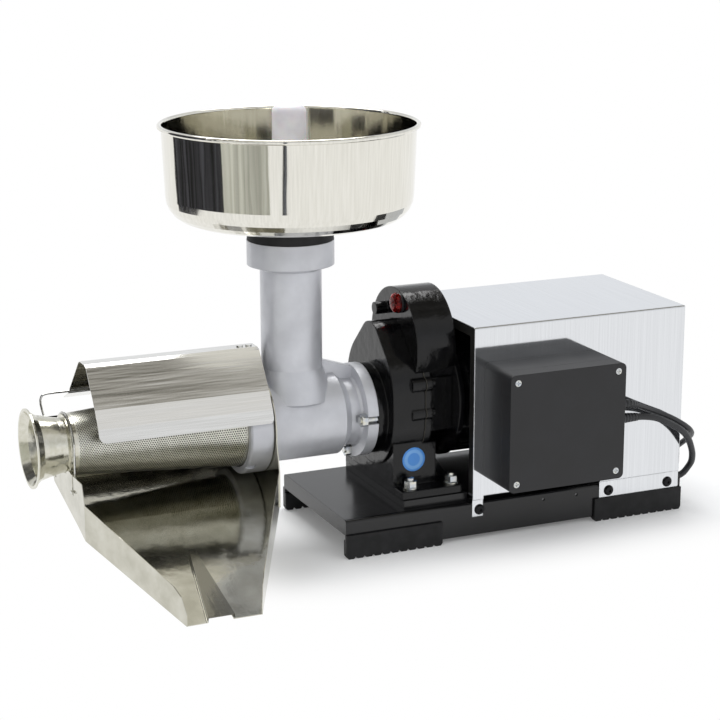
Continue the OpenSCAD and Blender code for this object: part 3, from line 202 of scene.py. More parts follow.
def ribbed_sleeve(name, line, stations, material):
    """A soft moulded sleeve round the start of a cord: stations are (distance in mm, radius)."""
    sides = 24
    points = []
    for reach, radius in stations:
        i = 0
        while i < len(line) - 2 and line_length(line[:i + 2]) < reach:
            i += 1
        along = (line[i + 1] - line[i]).normalized()
        centre = line[i] + along * (reach - line_length(line[:i + 1]))
        out = Vector((0, 0, 1)).cross(along).normalized()
        lift = along.cross(out)
        for k in range(sides):
            a = math.tau * k / sides
            points.append(centre + radius * (out * math.cos(a) + lift * math.sin(a)))
    faces = [tuple(reversed(range(sides)))]
    for i in range(len(stations) - 1):
        for k in range(sides):
            n = (k + 1) % sides
            faces.append((i * sides + k, i * sides + n, (i + 1) * sides + n, (i + 1) * sides + k))
    faces.append(tuple(range((len(stations) - 1) * sides, len(stations) * sides)))
    return mesh_piece(name, points, faces, material, "base")


SLEEVE_RIBS = 6
GROOVE = 0.7
# one rib and the groove after it: share of their length, depth
RIB_SHAPE = ((0.06, 0), (0.5, 0), (0.58, GROOVE), (0.88, GROOVE), (0.96, 0))


def sleeve_stations(start, end, thick, thin):
    """Ribs between shallow grooves, on a taper."""
    stations = [(start, thick)]
    for i in range(SLEEVE_RIBS):
        for share, depth in RIB_SHAPE:
            f = (i + share) / SLEEVE_RIBS
            radius = thick + (thin - thick) * f - depth * (1 - 0.5 * f)
            stations.append((start + (end - start) * f, radius))
    return stations + [(end, thin)]


# Soft PVC has a dull skin with a slow ripple along it where the cores press through.
pvc_skin = new_material("black_pvc_skin", Base_Color=srgb("#1c1d20"), Roughness=0.4)
pvc_at = on_drawing(pvc_skin)
# ripple of 18 mm
pvc_ripple = add(pvc_skin, "TexNoise", {"Vector": pvc_at, "Scale": 1 / 18})
add(pvc_skin, "ValToRGB", {"Fac": pvc_ripple}, to="Base Color", stops=[(0.3, "#18191c"), (0.7, "#27282c")])
# mould grain of 0.9 mm
pvc_grain = add(pvc_skin, "TexNoise", {"Vector": pvc_at, "Scale": 1 / 0.9, "Detail": 2.0})
add(pvc_skin, "Bump", {"Height": pvc_grain, "Strength": 0.12, "Distance": 0.0004}, to="Normal")

UPPER_GLAND = (318, -24, 141)
MAINS_THICKNESS = 6.8
mains_line = smooth_line([
    UPPER_GLAND, (330, -24, 141), (344, -20, 136.5), (358, -15, 130), (375, -12, 122.5),
    (392, -12, 115), (406, -12, 107), (419, -10, 98), (430, 0, 88), (436, 18, 76), (437, 42, 59),
    (436, 68, 39), (434, 95, 21), (432, 122, 9), (430, 150, 4.5), (424, 179, 4), (407, 205, 4),
    (379, 220, 4), (350, 222, 4)], 7)
COIL_STEPS = 48
coil_line = [coil_point(i / COIL_STEPS) for i in range(int(COIL_TURNS * COIL_STEPS) + 1)]
tail_line = smooth_line([
    (340, 311, 10.5), (352, 311, 10.5), (366, 312, 13), (382, 313, 18), (396, 313, 19)], 5)
mains_line = mains_line + coil_line + tail_line[1:]
mains_lead = cord_piece("mains_lead", mains_line, MAINS_THICKNESS, pvc_skin)
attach(mains_lead, "base")
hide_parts("mains_cord", "cord_coil", "cord_tail")
mains_sleeve = sleeve_stations(start=0.3, end=26, thick=5.9, thin=4.1)
ribbed_sleeve("mains_lead_sleeve", mains_line, mains_sleeve, pvc_skin)

# Motor lead. The thicker 7.6 mm cord from the lower gland to the motor, through the grommet in the
# base's end and up through its top; its four cores are laid loose, so it bends tightly.
LOWER_GLAND = (318, -24, 125)
MOTOR_LEAD_THICKNESS = 7.6
motor_line = smooth_line([
    LOWER_GLAND, (326, -24, 125), (350, -23, 123.5), (368, -22, 119.5), (381, -22, 113.5),
    (392, -21, 107.5), (403, -20, 100.5), (412, -18, 92), (420, -14, 80), (427, -8, 66),
    (430.5, -1, 54), (430.5, 4.5, 47), (427.5, 8.5, 39.5), (422, 11, 35), (415.5, 12, 33.5),
    (405, 12.5, 33), (390, 16, 31), (370, 26, 27), (350, 39, 22.5), (330, 54, 18.5), (314, 66, 17),
    (305.5, 71, 17.5), (297.7, 75.4, 20), (292, 78.8, 26.5), (290, 80, 35.5), (290, 80, 46),
    (290, 80, 60), (290, 80, 78)], 4)
motor_lead = cord_piece("motor_lead", motor_line, MOTOR_LEAD_THICKNESS, pvc_skin)
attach(motor_lead, "base")
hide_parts("link_cable")
motor_sleeve = sleeve_stations(start=0.3, end=24, thick=6.2, thin=4.5)
ribbed_sleeve("motor_lead_sleeve", motor_line, motor_sleeve, pvc_skin)

# Plug. A two-pin plug of the same PVC, moulded round the end of the mains lead, with nickel-plated
# brass pins pressed in.
def finish_in(material, *names):
    """Gives CAD pieces their finish."""
    for name in names:
        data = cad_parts[name].data
        if not data.materials:
            data.materials.append(material)
        for i in range(len(data.materials)):
            data.materials[i] = material


plug_pvc = new_material("plug_pvc_and_nickel", Roughness=0.38)
plug_at = on_drawing(plug_pvc)
plug_split = add(plug_pvc, "SeparateXYZ", {"Vector": plug_at})
PINS_FROM = 436.0
plug_pins = add(plug_pvc, "Math", {0: plug_split.outputs["X"], 1: PINS_FROM}, operation="GREATER_THAN",
                to="Metallic")
plug_grain = add(plug_pvc, "TexNoise", {"Vector": plug_at, "Scale": 1 / 1.1})
plug_black = add(plug_pvc, "ValToRGB", {"Fac": plug_grain}, stops=[(0.3, "#151619"), (0.7, "#222327")])
plug_nickel = add(plug_pvc, "ValToRGB", {"Fac": plug_grain}, stops=[(0.3, "#b9b5a8"), (0.7, "#cfccc2")])
add(plug_pvc, "MixRGB", {0: plug_pins, 1: plug_black, 2: plug_nickel}, to="Base Color")
add(plug_pvc, "Bump", {"Height": plug_grain, "Strength": 0.1, "Distance": 0.0004}, to="Normal")
finish_in(plug_pvc, "mains_plug")

# Table and light. A seamless pale paper sheet under a soft overhead light and weaker ones at the left
# and in front. The room is pale at the height of the press and brown-grey overhead, and cloths hang at
# its left: the polished steel shows them.
table_mesh = bpy.data.meshes.new("table")
SHEET_HALF = 20
sheet_corners = [(x * SHEET_HALF, y * SHEET_HALF, 0) for x, y in ((-1, -1), (1, -1), (1, 1), (-1, 1))]
table_mesh.from_pydata(sheet_corners, [], [(0, 1, 2, 3)])
table = bpy.data.objects.new("table", table_mesh)
bpy.context.scene.collection.objects.link(table)
pale_sheet = new_material("pale_paper_sheet", Base_Color=srgb("#f4f4f4"), Roughness=0.8)
sheet_at = on_drawing(pale_sheet)
# paper fibre of 1.4 mm
sheet_fibre = add(pale_sheet, "TexNoise", {"Vector": sheet_at, "Scale": 1 / 1.4})
add(pale_sheet, "Bump", {"Height": sheet_fibre, "Strength": 0.05, "Distance": 0.0002}, to="Normal")
# the sheet keeps the shadow round the base and goes over into the white background within 0.16 m
FOOTPRINT_MIDDLE = (0.15, 0.055, 0.0)
FOOTPRINT_HALF = (0.23, 0.08, 0.1)
SHADOW_REACH = 0.16
sheet_off = add(pale_sheet, "TexCoord").outputs["Object"]
sheet_off = add(pale_sheet, "VectorMath", {0: sheet_off, 1: FOOTPRINT_MIDDLE}, operation="SUBTRACT")
sheet_off = add(pale_sheet, "VectorMath", {0: sheet_off}, operation="ABSOLUTE")
sheet_off = add(pale_sheet, "VectorMath", {0: sheet_off, 1: FOOTPRINT_HALF}, operation="SUBTRACT")
sheet_off = add(pale_sheet, "VectorMath", {0: sheet_off, 1: (0, 0, 0)}, operation="MAXIMUM")
sheet_off = add(pale_sheet, "VectorMath", {0: sheet_off}, operation="LENGTH")
sheet_away = add(pale_sheet, "MapRange",
                 {"Value": sheet_off.outputs["Value"], "From Max": SHADOW_REACH, "To Min": 0.12},
                 interpolation_type="SMOOTHERSTEP")
sheet_ray = add(pale_sheet, "LightPath")
sheet_seen = add(pale_sheet, "Math",
                 {0: sheet_ray.outputs["Is Camera Ray"], 1: sheet_ray.outputs["Is Glossy Ray"]},
                 operation="MAXIMUM")
sheet_seen = add(pale_sheet, "Math", {0: sheet_seen, 1: sheet_ray.outputs["Is Transmission Ray"]},
                 operation="MAXIMUM")
sheet_white = add(pale_sheet, "Math", {0: sheet_seen, 1: sheet_away}, operation="MULTIPLY")
sheet_glow = add(pale_sheet, "Emission", {"Color": (1, 1, 1, 1), "Strength": 1.0})
sheet_mix = add(pale_sheet, "MixShader", {0: sheet_white, 1: shader_of(pale_sheet), 2: sheet_glow})
sheet_surface = pale_sheet.node_tree.nodes["Material Output"].inputs["Surface"]
pale_sheet.node_tree.links.new(sheet_mix.outputs[0], sheet_surface)
table_mesh.materials.append(pale_sheet)

room = bpy.data.worlds.new("studio_room")
bpy.context.scene.world = room
room.use_nodes = True
room.node_tree.nodes.clear()
ray = add(room, "LightPath")
seen_direct = add(room, "Math", {0: ray.outputs["Is Camera Ray"], 1: ray.outputs["Is Transmission Ray"]},
                  operation="MAXIMUM")
room_way = add(room, "TexCoord")
room_height = add(room, "SeparateXYZ", {"Vector": room_way.outputs["Generated"]})
room_stretch = add(room, "Mapping", {"Vector": room_way.outputs["Generated"], "Scale": (1.5, 9.0, 6.0)})
room_things = add(room, "TexNoise", {"Vector": room_stretch, "Scale": 1.7, "Detail": 3.0})
room_ceiling = add(room, "ValToRGB", {"Fac": room_things},
                   stops=[(0.32, "#4b4943"), (0.46, "#7d7a71"), (0.56, "#9a978e"), (0.68, "#d2cfc6")])
room_bent = add(room, "Math", {0: room_things, 1: 0.1, 2: room_height.outputs["Z"]},
                operation="MULTIPLY_ADD")
room_over = add(room, "MapRange", {"Value": room_bent, "From Min": 0.76, "From Max": 0.85},
                interpolation_type="SMOOTHSTEP")
room_low = add(room, "ValToRGB", {"Fac": room_height.outputs["Z"]},
               stops=[(0.0, "#ffffff"), (0.24, "#f1f3f6"), (0.42, "#dedfe1"), (0.75, "#e9e8e6")])
room_walls = add(room, "MixRGB", {0: room_over, 1: room_low, 2: room_ceiling})
room_light = add(room, "Background", {"Color": srgb("#f2f4f6"), "Strength": 0.78})
room_mirrored = add(room, "Background", {"Color": room_walls, "Strength": 1.0})
room_seen = add(room, "Background", {"Color": (1, 1, 1, 1), "Strength": 1.0})
room_mix = add(room, "MixShader", {0: ray.outputs["Is Glossy Ray"], 1: room_light, 2: room_mirrored})
room_mix = add(room, "MixShader", {0: seen_direct, 1: room_mix, 2: room_seen})
add(room, "OutputWorld", {"Surface": room_mix})


def softbox(name, where, towards, width, watts):
    """A lamp in a box of cloth, whose front is 0.7 times as high as it is wide."""
    data = bpy.data.lights.new(name, "AREA")
    data.shape = "RECTANGLE"
    data.size = width
    data.size_y = width * 0.7
    data.energy = watts
    lamp = bpy.data.objects.new(name, data)
    bpy.context.scene.collection.objects.link(lamp)
    lamp.location = where
    lamp.rotation_mode = "QUATERNION"
    lamp.rotation_quaternion = (Vector(towards) - Vector(where)).to_track_quat("-Z", "Y")
    return lamp


softbox("overhead_box", where=(0.1, 0.9, 2.2), towards=(0, 0, 0.1), width=1.8, watts=36)
left_box = softbox("left_box", where=(-2.2, -1.2, 1.7), towards=(0, 0, 0.2), width=1.2, watts=10)
front_box = softbox("front_box", where=(1.3, -2.6, 1.7), towards=(0, 0, 0.1), width=1.8, watts=9)
# the polished steel doesn't show these two
left_box.visible_glossy = False
front_box.visible_glossy = False


def hung_cloth(name, corner_a, corner_b, height, dark, light):
    """A cloth hung on a stand beside the table, which only the polished steel shows."""
    data = bpy.data.meshes.new(name)
    corners = [(*corner_a, 0), (*corner_b, 0), (*corner_b, height), (*corner_a, height)]
    data.from_pydata(corners, [], [(0, 1, 2, 3)])
    cloth = new_material(name + "_weave", Roughness=0.9)
    # folds 70 mm apart hang down the cloth
    folds = add(cloth, "TexNoise",
                {"Vector": on_drawing(cloth, (1, 1, 0.05)), "Scale": 1 / 70, "Detail": 4.0})
    add(cloth, "ValToRGB", {"Fac": folds}, to="Base Color", stops=[(0.42, dark), (0.66, light)])
    data.materials.append(cloth)
    piece = bpy.data.objects.new(name, data)
    bpy.context.scene.collection.objects.link(piece)
    piece.visible_camera = False
    piece.visible_diffuse = False
    piece.visible_shadow = False


hung_cloth("left_dark_cloth", (-0.86, 1.1), (-1.36, -0.15), 1.2, "#040406", "#45454c")
hung_cloth("left_grey_cloth", (-1.36, -0.15), (-0.9, -0.98), 0.9, "#a3a39b", "#cfcfc6")
hung_cloth("tall_stand", (-0.66, -1.05), (-0.575, -1.08), 1.2, "#1a1b20", "#7b7f88")

# Base. 2.5 mm steel sheet folded to a channel, its ends welded in, enamelled black and stoved to a
# hard gloss; the raised plate under the gearbox is finished with it.
black_enamel = new_material("black_stoved_enamel", Specular_IOR_Level=0.5)
enamel_at = on_drawing(black_enamel)
# handling marks of 30 mm in the gloss
enamel_marks = add(black_enamel, "TexNoise", {"Vector": enamel_at, "Scale": 1 / 30, "Detail": 4.0})
add(black_enamel, "MapRange", {"Value": enamel_marks, "To Min": 0.14, "To Max": 0.3}, to="Roughness")
add(black_enamel, "ValToRGB", {"Fac": enamel_marks}, to="Base Color",
    stops=[(0.35, "#09090a"), (0.7, "#111113")])
# orange peel of 2.2 mm, over edges of 0.8 mm radius
enamel_peel = add(black_enamel, "TexNoise", {"Vector": enamel_at, "Scale": 1 / 2.2})
enamel_edge = add(black_enamel, "Bevel", {"Radius": 0.0008})
add(black_enamel, "Bump",
    {"Height": enamel_peel, "Strength": 0.05, "Distance": 0.0004, "Normal": enamel_edge}, to="Normal")
finish_in(black_enamel, "base_frame", "riser_plate")

# Feet, rubber ring and grommets. Black natural rubber with a matt moulded skin; the serrated feet are
# extruded and pressed over the base's lower flanges.
black_rubber = new_material("black_natural_rubber", Roughness=0.62, Specular_IOR_Level=0.3)
rubber_at = on_drawing(black_rubber)
# bloom of 14 mm on the rubber
rubber_bloom = add(black_rubber, "TexNoise", {"Vector": rubber_at, "Scale": 1 / 14, "Detail": 3.0})
add(black_rubber, "ValToRGB", {"Fac": rubber_bloom}, to="Base Color",
    stops=[(0.35, "#161617"), (0.7, "#222223")])
rubber_skin = add(black_rubber, "TexNoise", {"Vector": rubber_at, "Scale": 1 / 0.8})
add(black_rubber, "Bump", {"Height": rubber_skin, "Strength": 0.2, "Distance": 0.0003}, to="Normal")
finish_in(black_rubber, "rubber_feet", "hopper_ring", "cable_grommets")

# Gearbox. Two sand-cast iron shells in black enamel, which is brushed on thick: the sand's grain
# still shows through it as soft waves, and it shines like wet paint. Case screws and the motor's frame
# and brackets have the same coat.
casting_enamel = new_material("black_enamel_on_castings", Roughness=0.12, Specular_IOR_Level=0.34)
casting_at = on_drawing(casting_enamel)
# waves of 11 mm from the pattern and grain of 1.8 mm from the sand
casting_waves = add(casting_enamel, "TexNoise", {"Vector": casting_at, "Scale": 1 / 11, "Detail": 2.0})
casting_sand = add(casting_enamel, "TexNoise", {"Vector": casting_at, "Scale": 1 / 1.8})
casting_height = add(casting_enamel, "Math", {0: casting_sand, 1: 0.16, 2: casting_waves},
                     operation="MULTIPLY_ADD")
casting_edge = add(casting_enamel, "Bevel", {"Radius": 0.0024})
add(casting_enamel, "Bump",
    {"Height": casting_height, "Strength": 0.34, "Distance": 0.0012, "Normal": casting_edge}, to="Normal")
add(casting_enamel, "ValToRGB", {"Fac": casting_waves}, to="Base Color",
    stops=[(0.3, "#060607"), (0.75, "#0e0e10")])
finish_in(casting_enamel, "gearbox_front_case", "gearbox_rear_case", "motor_frame", "motor_front_bracket",
          "motor_rear_bracket", "case_screws")

# Joint. 0.8 mm sheet of pressed fibre, oiled and cut to the shells' outline, which the case screws
# squeeze between them.
gasket_fibre = new_material("oiled_gasket_fibre", Roughness=0.7)
gasket_at = on_drawing(gasket_fibre)
gasket_flock = add(gasket_fibre, "TexNoise", {"Vector": gasket_at, "Scale": 1 / 1.5, "Detail": 4.0})
add(gasket_fibre, "ValToRGB", {"Fac": gasket_flock}, to="Base Color",
    stops=[(0.3, "#2d2a24"), (0.7, "#4a453b")])
add(gasket_fibre, "Bump", {"Height": gasket_flock, "Strength": 0.3, "Distance": 0.0002}, to="Normal")
finish_in(gasket_fibre, "gearbox_gasket")

# Round label on the pedestal. Blue paper with a paler ring, laminated and stuck on the casting; it
# carries no words.
label_paper = new_material("blue_laminated_paper", Roughness=0.32)
LABEL_MIDDLE = Vector((95.3, 33.9, 89.9))
LABEL_RADIUS = 13.5
LABEL_SIDES = 72
# from the casting outwards: height over it in mm and share of the radius
LABEL_RINGS = ((0, 1.0), (0.18, 1.0), (0.26, 0.985), (0.26, 0.5))
label_at = on_drawing(label_paper)
label_off = add(label_paper, "VectorMath", {0: label_at, 1: LABEL_MIDDLE}, operation="DISTANCE")
label_turn = add(label_paper, "Math", {0: label_off.outputs["Value"], 1: LABEL_RADIUS}, operation="DIVIDE")
add(label_paper, "ValToRGB", {"Fac": label_turn}, to="Base Color",
    stops=[(0.0, "#4a8fdc"), (0.52, "#4a8fdc"), (0.58, "#76ade8"), (0.8, "#76ade8"), (0.86, "#4a8fdc"),
           (0.97, "#4a8fdc")])
label_print = add(label_paper, "TexNoise", {"Vector": label_at, "Scale": 1 / 0.6})
add(label_paper, "Bump", {"Height": label_print, "Strength": 0.08, "Distance": 0.0002}, to="Normal")
label_points = []
for height, share in LABEL_RINGS:
    for k in range(LABEL_SIDES):
        a = math.tau * k / LABEL_SIDES
        out = Vector((math.cos(a), 0, math.sin(a))) * LABEL_RADIUS * share
        label_points.append(LABEL_MIDDLE + out + Vector((0, -height, 0)))
label_last = (len(LABEL_RINGS) - 1) * LABEL_SIDES
label_faces = [tuple(reversed(range(LABEL_SIDES))), tuple(range(label_last, label_last + LABEL_SIDES))]
for first in range(0, label_last, LABEL_SIDES):
    for k in range(LABEL_SIDES):
        n = (k + 1) % LABEL_SIDES
        label_faces.append((first + k, first + n, first + LABEL_SIDES + n, first + LABEL_SIDES + k))
mesh_piece("round_label", label_points, label_faces, label_paper, "base")

# Fasteners. Nuts and studs of cold-headed steel, zinc-plated bright with a faint blue and yellow cast:
# they hold the gearbox on its plate, the press body on the gearbox and the lid on its box.
zinc_plate = new_material("bright_zinc_plate", Metallic=1.0, Roughness=0.22)
zinc_at = on_drawing(zinc_plate)
zinc_cast = add(zinc_plate, "TexNoise", {"Vector": zinc_at, "Scale": 1 / 5})
add(zinc_plate, "ValToRGB", {"Fac": zinc_cast}, to="Base Color",
    stops=[(0.35, "#c3c8cf"), (0.65, "#d9d7cc")])
zinc_edge = add(zinc_plate, "Bevel", {"Radius": 0.0004})
zinc_marks = add(zinc_plate, "TexNoise", {"Vector": zinc_at, "Scale": 1 / 1.2})
add(zinc_plate, "Bump", {"Height": zinc_marks, "Strength": 0.15, "Distance": 0.0003, "Normal": zinc_edge},
    to="Normal")
finish_in(zinc_plate, "foot_nuts", "flange_studs", "flange_nuts", "lid_screws")

# Gears. Case-hardened steel, hobbed and pressed on their shafts: fine cutter lines show under the oil.
# The middle shaft has its pinion cut in it.
gear_steel = new_material("hobbed_gear_steel", Metallic=1.0)
gear_at = on_drawing(gear_steel)
# cutter lines 0.9 mm apart along the teeth: a wave of scale 1 comes every 0.314 mm
gear_lines = add(gear_steel, "TexWave", {"Vector": gear_at, "Scale": 0.35, "Distortion": 1.5},
                 bands_direction="X")
add(gear_steel, "ValToRGB", {"Fac": gear_lines}, to="Base Color",
    stops=[(0.0, "#8f8a80"), (1.0, "#b9b5ab")])
add(gear_steel, "MapRange", {"Value": gear_lines, "To Min": 0.22, "To Max": 0.36}, to="Roughness")
add(gear_steel, "Bump", {"Height": gear_lines, "Strength": 0.12, "Distance": 0.0003}, to="Normal")
finish_in(gear_steel, "output_wheel", "middle_wheel", "middle_shaft", "motor_pinion")

# Shafts, bearings, the auger's shank and the rotor. Steel turned and ground round the shafts' own axes,
# which leaves rings that catch the light.
turned_steel = new_material("turned_and_ground_steel", Metallic=1.0)
turned_at = on_drawing(turned_steel)
# feed marks 1.1 mm apart
turned_rings = add(turned_steel, "TexWave", {"Vector": turned_at, "Scale": 0.28, "Distortion": 0.4},
                   bands_direction="X", wave_profile="SAW")
add(turned_steel, "ValToRGB", {"Fac": turned_rings}, to="Base Color",
    stops=[(0.0, "#b4b4b2"), (1.0, "#d0d0cd")])
add(turned_steel, "MapRange", {"Value": turned_rings, "To Min": 0.16, "To Max": 0.27}, to="Roughness")
add(turned_steel, "Bump", {"Height": turned_rings, "Strength": 0.06, "Distance": 0.0002}, to="Normal")
finish_in(turned_steel, "output_bearings", "middle_bearings", "auger_shank", "output_shaft", "rotor_shaft",
          "rotor", "motor_bearings")

# Seals. Red-brown food-grade rubber, moulded with a satin skin: a lip seal on the output shaft and a
# flat ring behind the cone.
seal_rubber = new_material("red_food_rubber", Roughness=0.5)
seal_at = on_drawing(seal_rubber)
seal_tone = add(seal_rubber, "TexNoise", {"Vector": seal_at, "Scale": 1 / 6})
add(seal_rubber, "ValToRGB", {"Fac": seal_tone}, to="Base Color",
    stops=[(0.35, "#8e2c22"), (0.7, "#a83a2d")])
add(seal_rubber, "Bump", {"Height": seal_tone, "Strength": 0.1, "Distance": 0.0003}, to="Normal")
finish_in(seal_rubber, "output_seal", "cone_seal")

# Stator. Stacked sheets of silicon steel, shrunk into the motor's frame, between two heads of
# enamelled copper wire.
stator_wire = new_material("copper_heads_and_sheets", Metallic=1.0, Roughness=0.35)
stator_at = on_drawing(stator_wire)
stator_split = add(stator_wire, "SeparateXYZ", {"Vector": stator_at})
SHEETS_FROM = 192.0
SHEETS_TO = 266.0
stator_middle = add(stator_wire, "Math",
                    {0: stator_split.outputs["X"], 1: (SHEETS_FROM + SHEETS_TO) / 2,
                     2: (SHEETS_TO - SHEETS_FROM) / 2}, operation="COMPARE")
# wire of 0.9 mm wound round the heads, sheets of 0.5 mm drawn 1.2 mm thick so that they show
stator_turns = add(stator_wire, "TexWave", {"Vector": stator_at, "Scale": 0.34, "Distortion": 3.0},
                   bands_direction="Z")
stator_copper = add(stator_wire, "ValToRGB", {"Fac": stator_turns},
                    stops=[(0.0, "#6e3216"), (1.0, "#b8683a")])
stator_sheets = add(stator_wire, "TexWave", {"Vector": stator_at, "Scale": 0.26}, bands_direction="X")
stator_iron = add(stator_wire, "ValToRGB", {"Fac": stator_sheets},
                  stops=[(0.0, "#4e5054"), (1.0, "#8a8c90")])
add(stator_wire, "MixRGB", {0: stator_middle, 1: stator_copper, 2: stator_iron}, to="Base Color")
add(stator_wire, "Bump", {"Height": stator_turns, "Strength": 0.3, "Distance": 0.0004}, to="Normal")
finish_in(stator_wire, "stator")

# Control box, glands, switch body and fan. Charcoal ABS, injection moulded with a fine spark-eroded
# grain that leaves it nearly matt.
charcoal_abs = new_material("charcoal_moulded_abs", Specular_IOR_Level=0.5)
abs_at = on_drawing(charcoal_abs)
# cloudy sheen of 40 mm over a grain of 0.7 mm
abs_sheen = add(charcoal_abs, "TexNoise", {"Vector": abs_at, "Scale": 1 / 40, "Detail": 3.0})
abs_tone = add(charcoal_abs, "ValToRGB", {"Fac": abs_sheen}, stops=[(0.35, "#121214"), (0.7, "#1a1a1d")])
# the lid meets the body in a shadow line
LID_SEAM = -43.4
LID_SEAM_HALF = 0.7
abs_split = add(charcoal_abs, "SeparateXYZ", {"Vector": abs_at})
abs_seam = add(charcoal_abs, "Math", {0: abs_split.outputs["Y"], 1: LID_SEAM, 2: LID_SEAM_HALF},
               operation="COMPARE")
add(charcoal_abs, "MixRGB", {0: abs_seam, 1: abs_tone, 2: srgb("#050506")}, to="Base Color")
add(charcoal_abs, "MapRange", {"Value": abs_sheen, "To Min": 0.42, "To Max": 0.56}, to="Roughness")
abs_grain = add(charcoal_abs, "TexNoise", {"Vector": abs_at, "Scale": 1 / 0.7})
abs_edge = add(charcoal_abs, "Bevel", {"Radius": 0.001})
add(charcoal_abs, "Bump", {"Height": abs_grain, "Strength": 0.1, "Distance": 0.0003, "Normal": abs_edge},
    to="Normal")
finish_in(charcoal_abs, "box_back_plate", "box_body", "box_lid", "cable_glands", "switch_body",
          "cooling_fan")

# Run capacitor. A can of white polypropylene, moulded with a smooth satin skin and clipped to the
# back of the control box.
capacitor_can = new_material("white_capacitor_can", Roughness=0.4)
can_at = on_drawing(capacitor_can)
can_tone = add(capacitor_can, "TexNoise", {"Vector": can_at, "Scale": 1 / 12})
add(capacitor_can, "ValToRGB", {"Fac": can_tone}, to="Base Color",
    stops=[(0.3, "#d9d9d4"), (0.7, "#e6e6e2")])
add(capacitor_can, "Bump", {"Height": can_tone, "Strength": 0.1, "Distance": 0.0005}, to="Normal")
finish_in(capacitor_can, "run_capacitor")

# Switch. A rocker of clear red polycarbonate, its colour painted with glints and shade of the light in its
# lens, under a soft clear boot that keeps juice out and is painted with the rocker's red, a painted copy of
# the rocker seen through it.
red_rocker = new_material("clear_red_polycarbonate", Roughness=0.12, Coat_Weight=0.6, Coat_Roughness=0.04)
rocker_at = on_drawing(red_rocker)
# moulded prisms of 3.2 mm inside the lens, which bump it; their cells are painted bright red in the middle
# and dark at the edges, painted glints and painted shade
rocker_prisms_and_glints = add(red_rocker, "TexVoronoi", {"Vector": rocker_at, "Scale": 1 / 3.2})
add(red_rocker, "ValToRGB", {"Fac": rocker_prisms_and_glints}, to="Base Color",
    stops=[(0.1, "#f02a22"), (0.5, "#c01218"), (0.85, "#6a0a0e")])
add(red_rocker, "Bump", {"Height": rocker_prisms_and_glints, "Strength": 0.35, "Distance": 0.0005}, to="Normal")
finish_in(red_rocker, "switch_rocker")
clear_boot = new_material("clear_soft_pvc", Roughness=0.06, Transmission_Weight=0.9, IOR=1.25)
boot_at = on_drawing(clear_boot)
# slow waves of 8 mm in the soft skin, which bump it; along them the boot is painted dark to bright red, a
# painted copy of the lit rocker seen through it
boot_waves_and_painted_red = add(clear_boot, "TexNoise", {"Vector": boot_at, "Scale": 1 / 8})
add(clear_boot, "ValToRGB", {"Fac": boot_waves_and_painted_red}, to="Base Color",
    stops=[(0.36, "#5a0a0c"), (0.62, "#d8302a")])
add(clear_boot, "Bump", {"Height": boot_waves_and_painted_red, "Strength": 0.2, "Distance": 0.0006}, to="Normal")
finish_in(clear_boot, "switch_boot")

# Motor cover. 1.2 mm stainless sheet, folded over the motor, with a mirror-like cold-rolled skin whose
# rolling lines run up its sides and across its top.
cover_sheet = new_material("bright_rolled_stainless", Metallic=1.0)
# lines 1.6 mm apart that run on for 120 mm
cover_at = on_drawing(cover_sheet, (1, 1 / 80, 1 / 80))
cover_lines = add(cover_sheet, "TexNoise", {"Vector": cover_at, "Scale": 1 / 1.6, "Detail": 4.0})
cover_bright = add(cover_sheet, "ValToRGB", {"Fac": cover_lines},
                   stops=[(0.3, "#dbdde0"), (0.7, "#e3e5e8")])
# the sheet's inside is painted dark grey, a painted shade inside the cover, and made rougher as it was
# never polished: a box just inside the cover, and open at its left end
COVER_INSIDE_MIDDLE = (90.0, 145.6)
COVER_INSIDE_HALF = (91.8, 93.0)
COVER_INSIDE_END = 412.7
cover_split = add(cover_sheet, "SeparateXYZ", {"Vector": on_drawing(cover_sheet)})
cover_deep = add(cover_sheet, "Math",
                 {0: cover_split.outputs["Y"], 1: COVER_INSIDE_MIDDLE[0], 2: COVER_INSIDE_HALF[0]},
                 operation="COMPARE")
cover_below = add(cover_sheet, "Math",
                  {0: cover_split.outputs["Z"], 1: COVER_INSIDE_MIDDLE[1], 2: COVER_INSIDE_HALF[1]},
                  operation="COMPARE")
cover_left = add(cover_sheet, "Math", {0: cover_split.outputs["X"], 1: COVER_INSIDE_END},
                 operation="LESS_THAN")
cover_shaded_inside = add(cover_sheet, "Math", {0: cover_deep, 1: cover_below}, operation="MULTIPLY")
cover_shaded_inside = add(cover_sheet, "Math", {0: cover_shaded_inside, 1: cover_left}, operation="MULTIPLY")
# painted shade: the inside of the cover is dark grey
add(cover_sheet, "MixRGB", {0: cover_shaded_inside, 1: cover_bright, 2: srgb("#5c5b58")}, to="Base Color")
cover_shine = add(cover_sheet, "MapRange", {"Value": cover_lines, "To Min": 0.05, "To Max": 0.09})
add(cover_sheet, "Math", {0: cover_shaded_inside, 1: 0.4, 2: cover_shine}, operation="MULTIPLY_ADD",
    to="Roughness")
cover_edge = add(cover_sheet, "Bevel", {"Radius": 0.0015})
add(cover_sheet, "Bump",
    {"Height": cover_lines, "Strength": 0.02, "Distance": 0.0003, "Normal": cover_edge}, to="Normal")
finish_in(cover_sheet, "motor_cover")

# Cover screws. Dome-head socket screws of hardened steel, blackened in oil, which hold the cover's
# tabs on the base.
black_oxide = new_material("black_oxide_on_steel", Roughness=0.38, Metallic=0.6)
oxide_at = on_drawing(black_oxide)
oxide_cloud = add(black_oxide, "TexNoise", {"Vector": oxide_at, "Scale": 1 / 2.5})
add(black_oxide, "ValToRGB", {"Fac": oxide_cloud}, to="Base Color",
    stops=[(0.3, "#0f0f11"), (0.7, "#1d1d20")])
add(black_oxide, "Bump", {"Height": oxide_cloud, "Strength": 0.08, "Distance": 0.0002}, to="Normal")
finish_in(black_oxide, "cover_screws")

# Press body and ring nut. Aluminium, gravity cast, with a silver-grey lacquer sprayed over the skin of
# the mould, which shows as a fine pebble.
grey_lacquer = new_material("silver_lacquer_on_aluminium", Metallic=0.4)
lacquer_at = on_drawing(grey_lacquer)
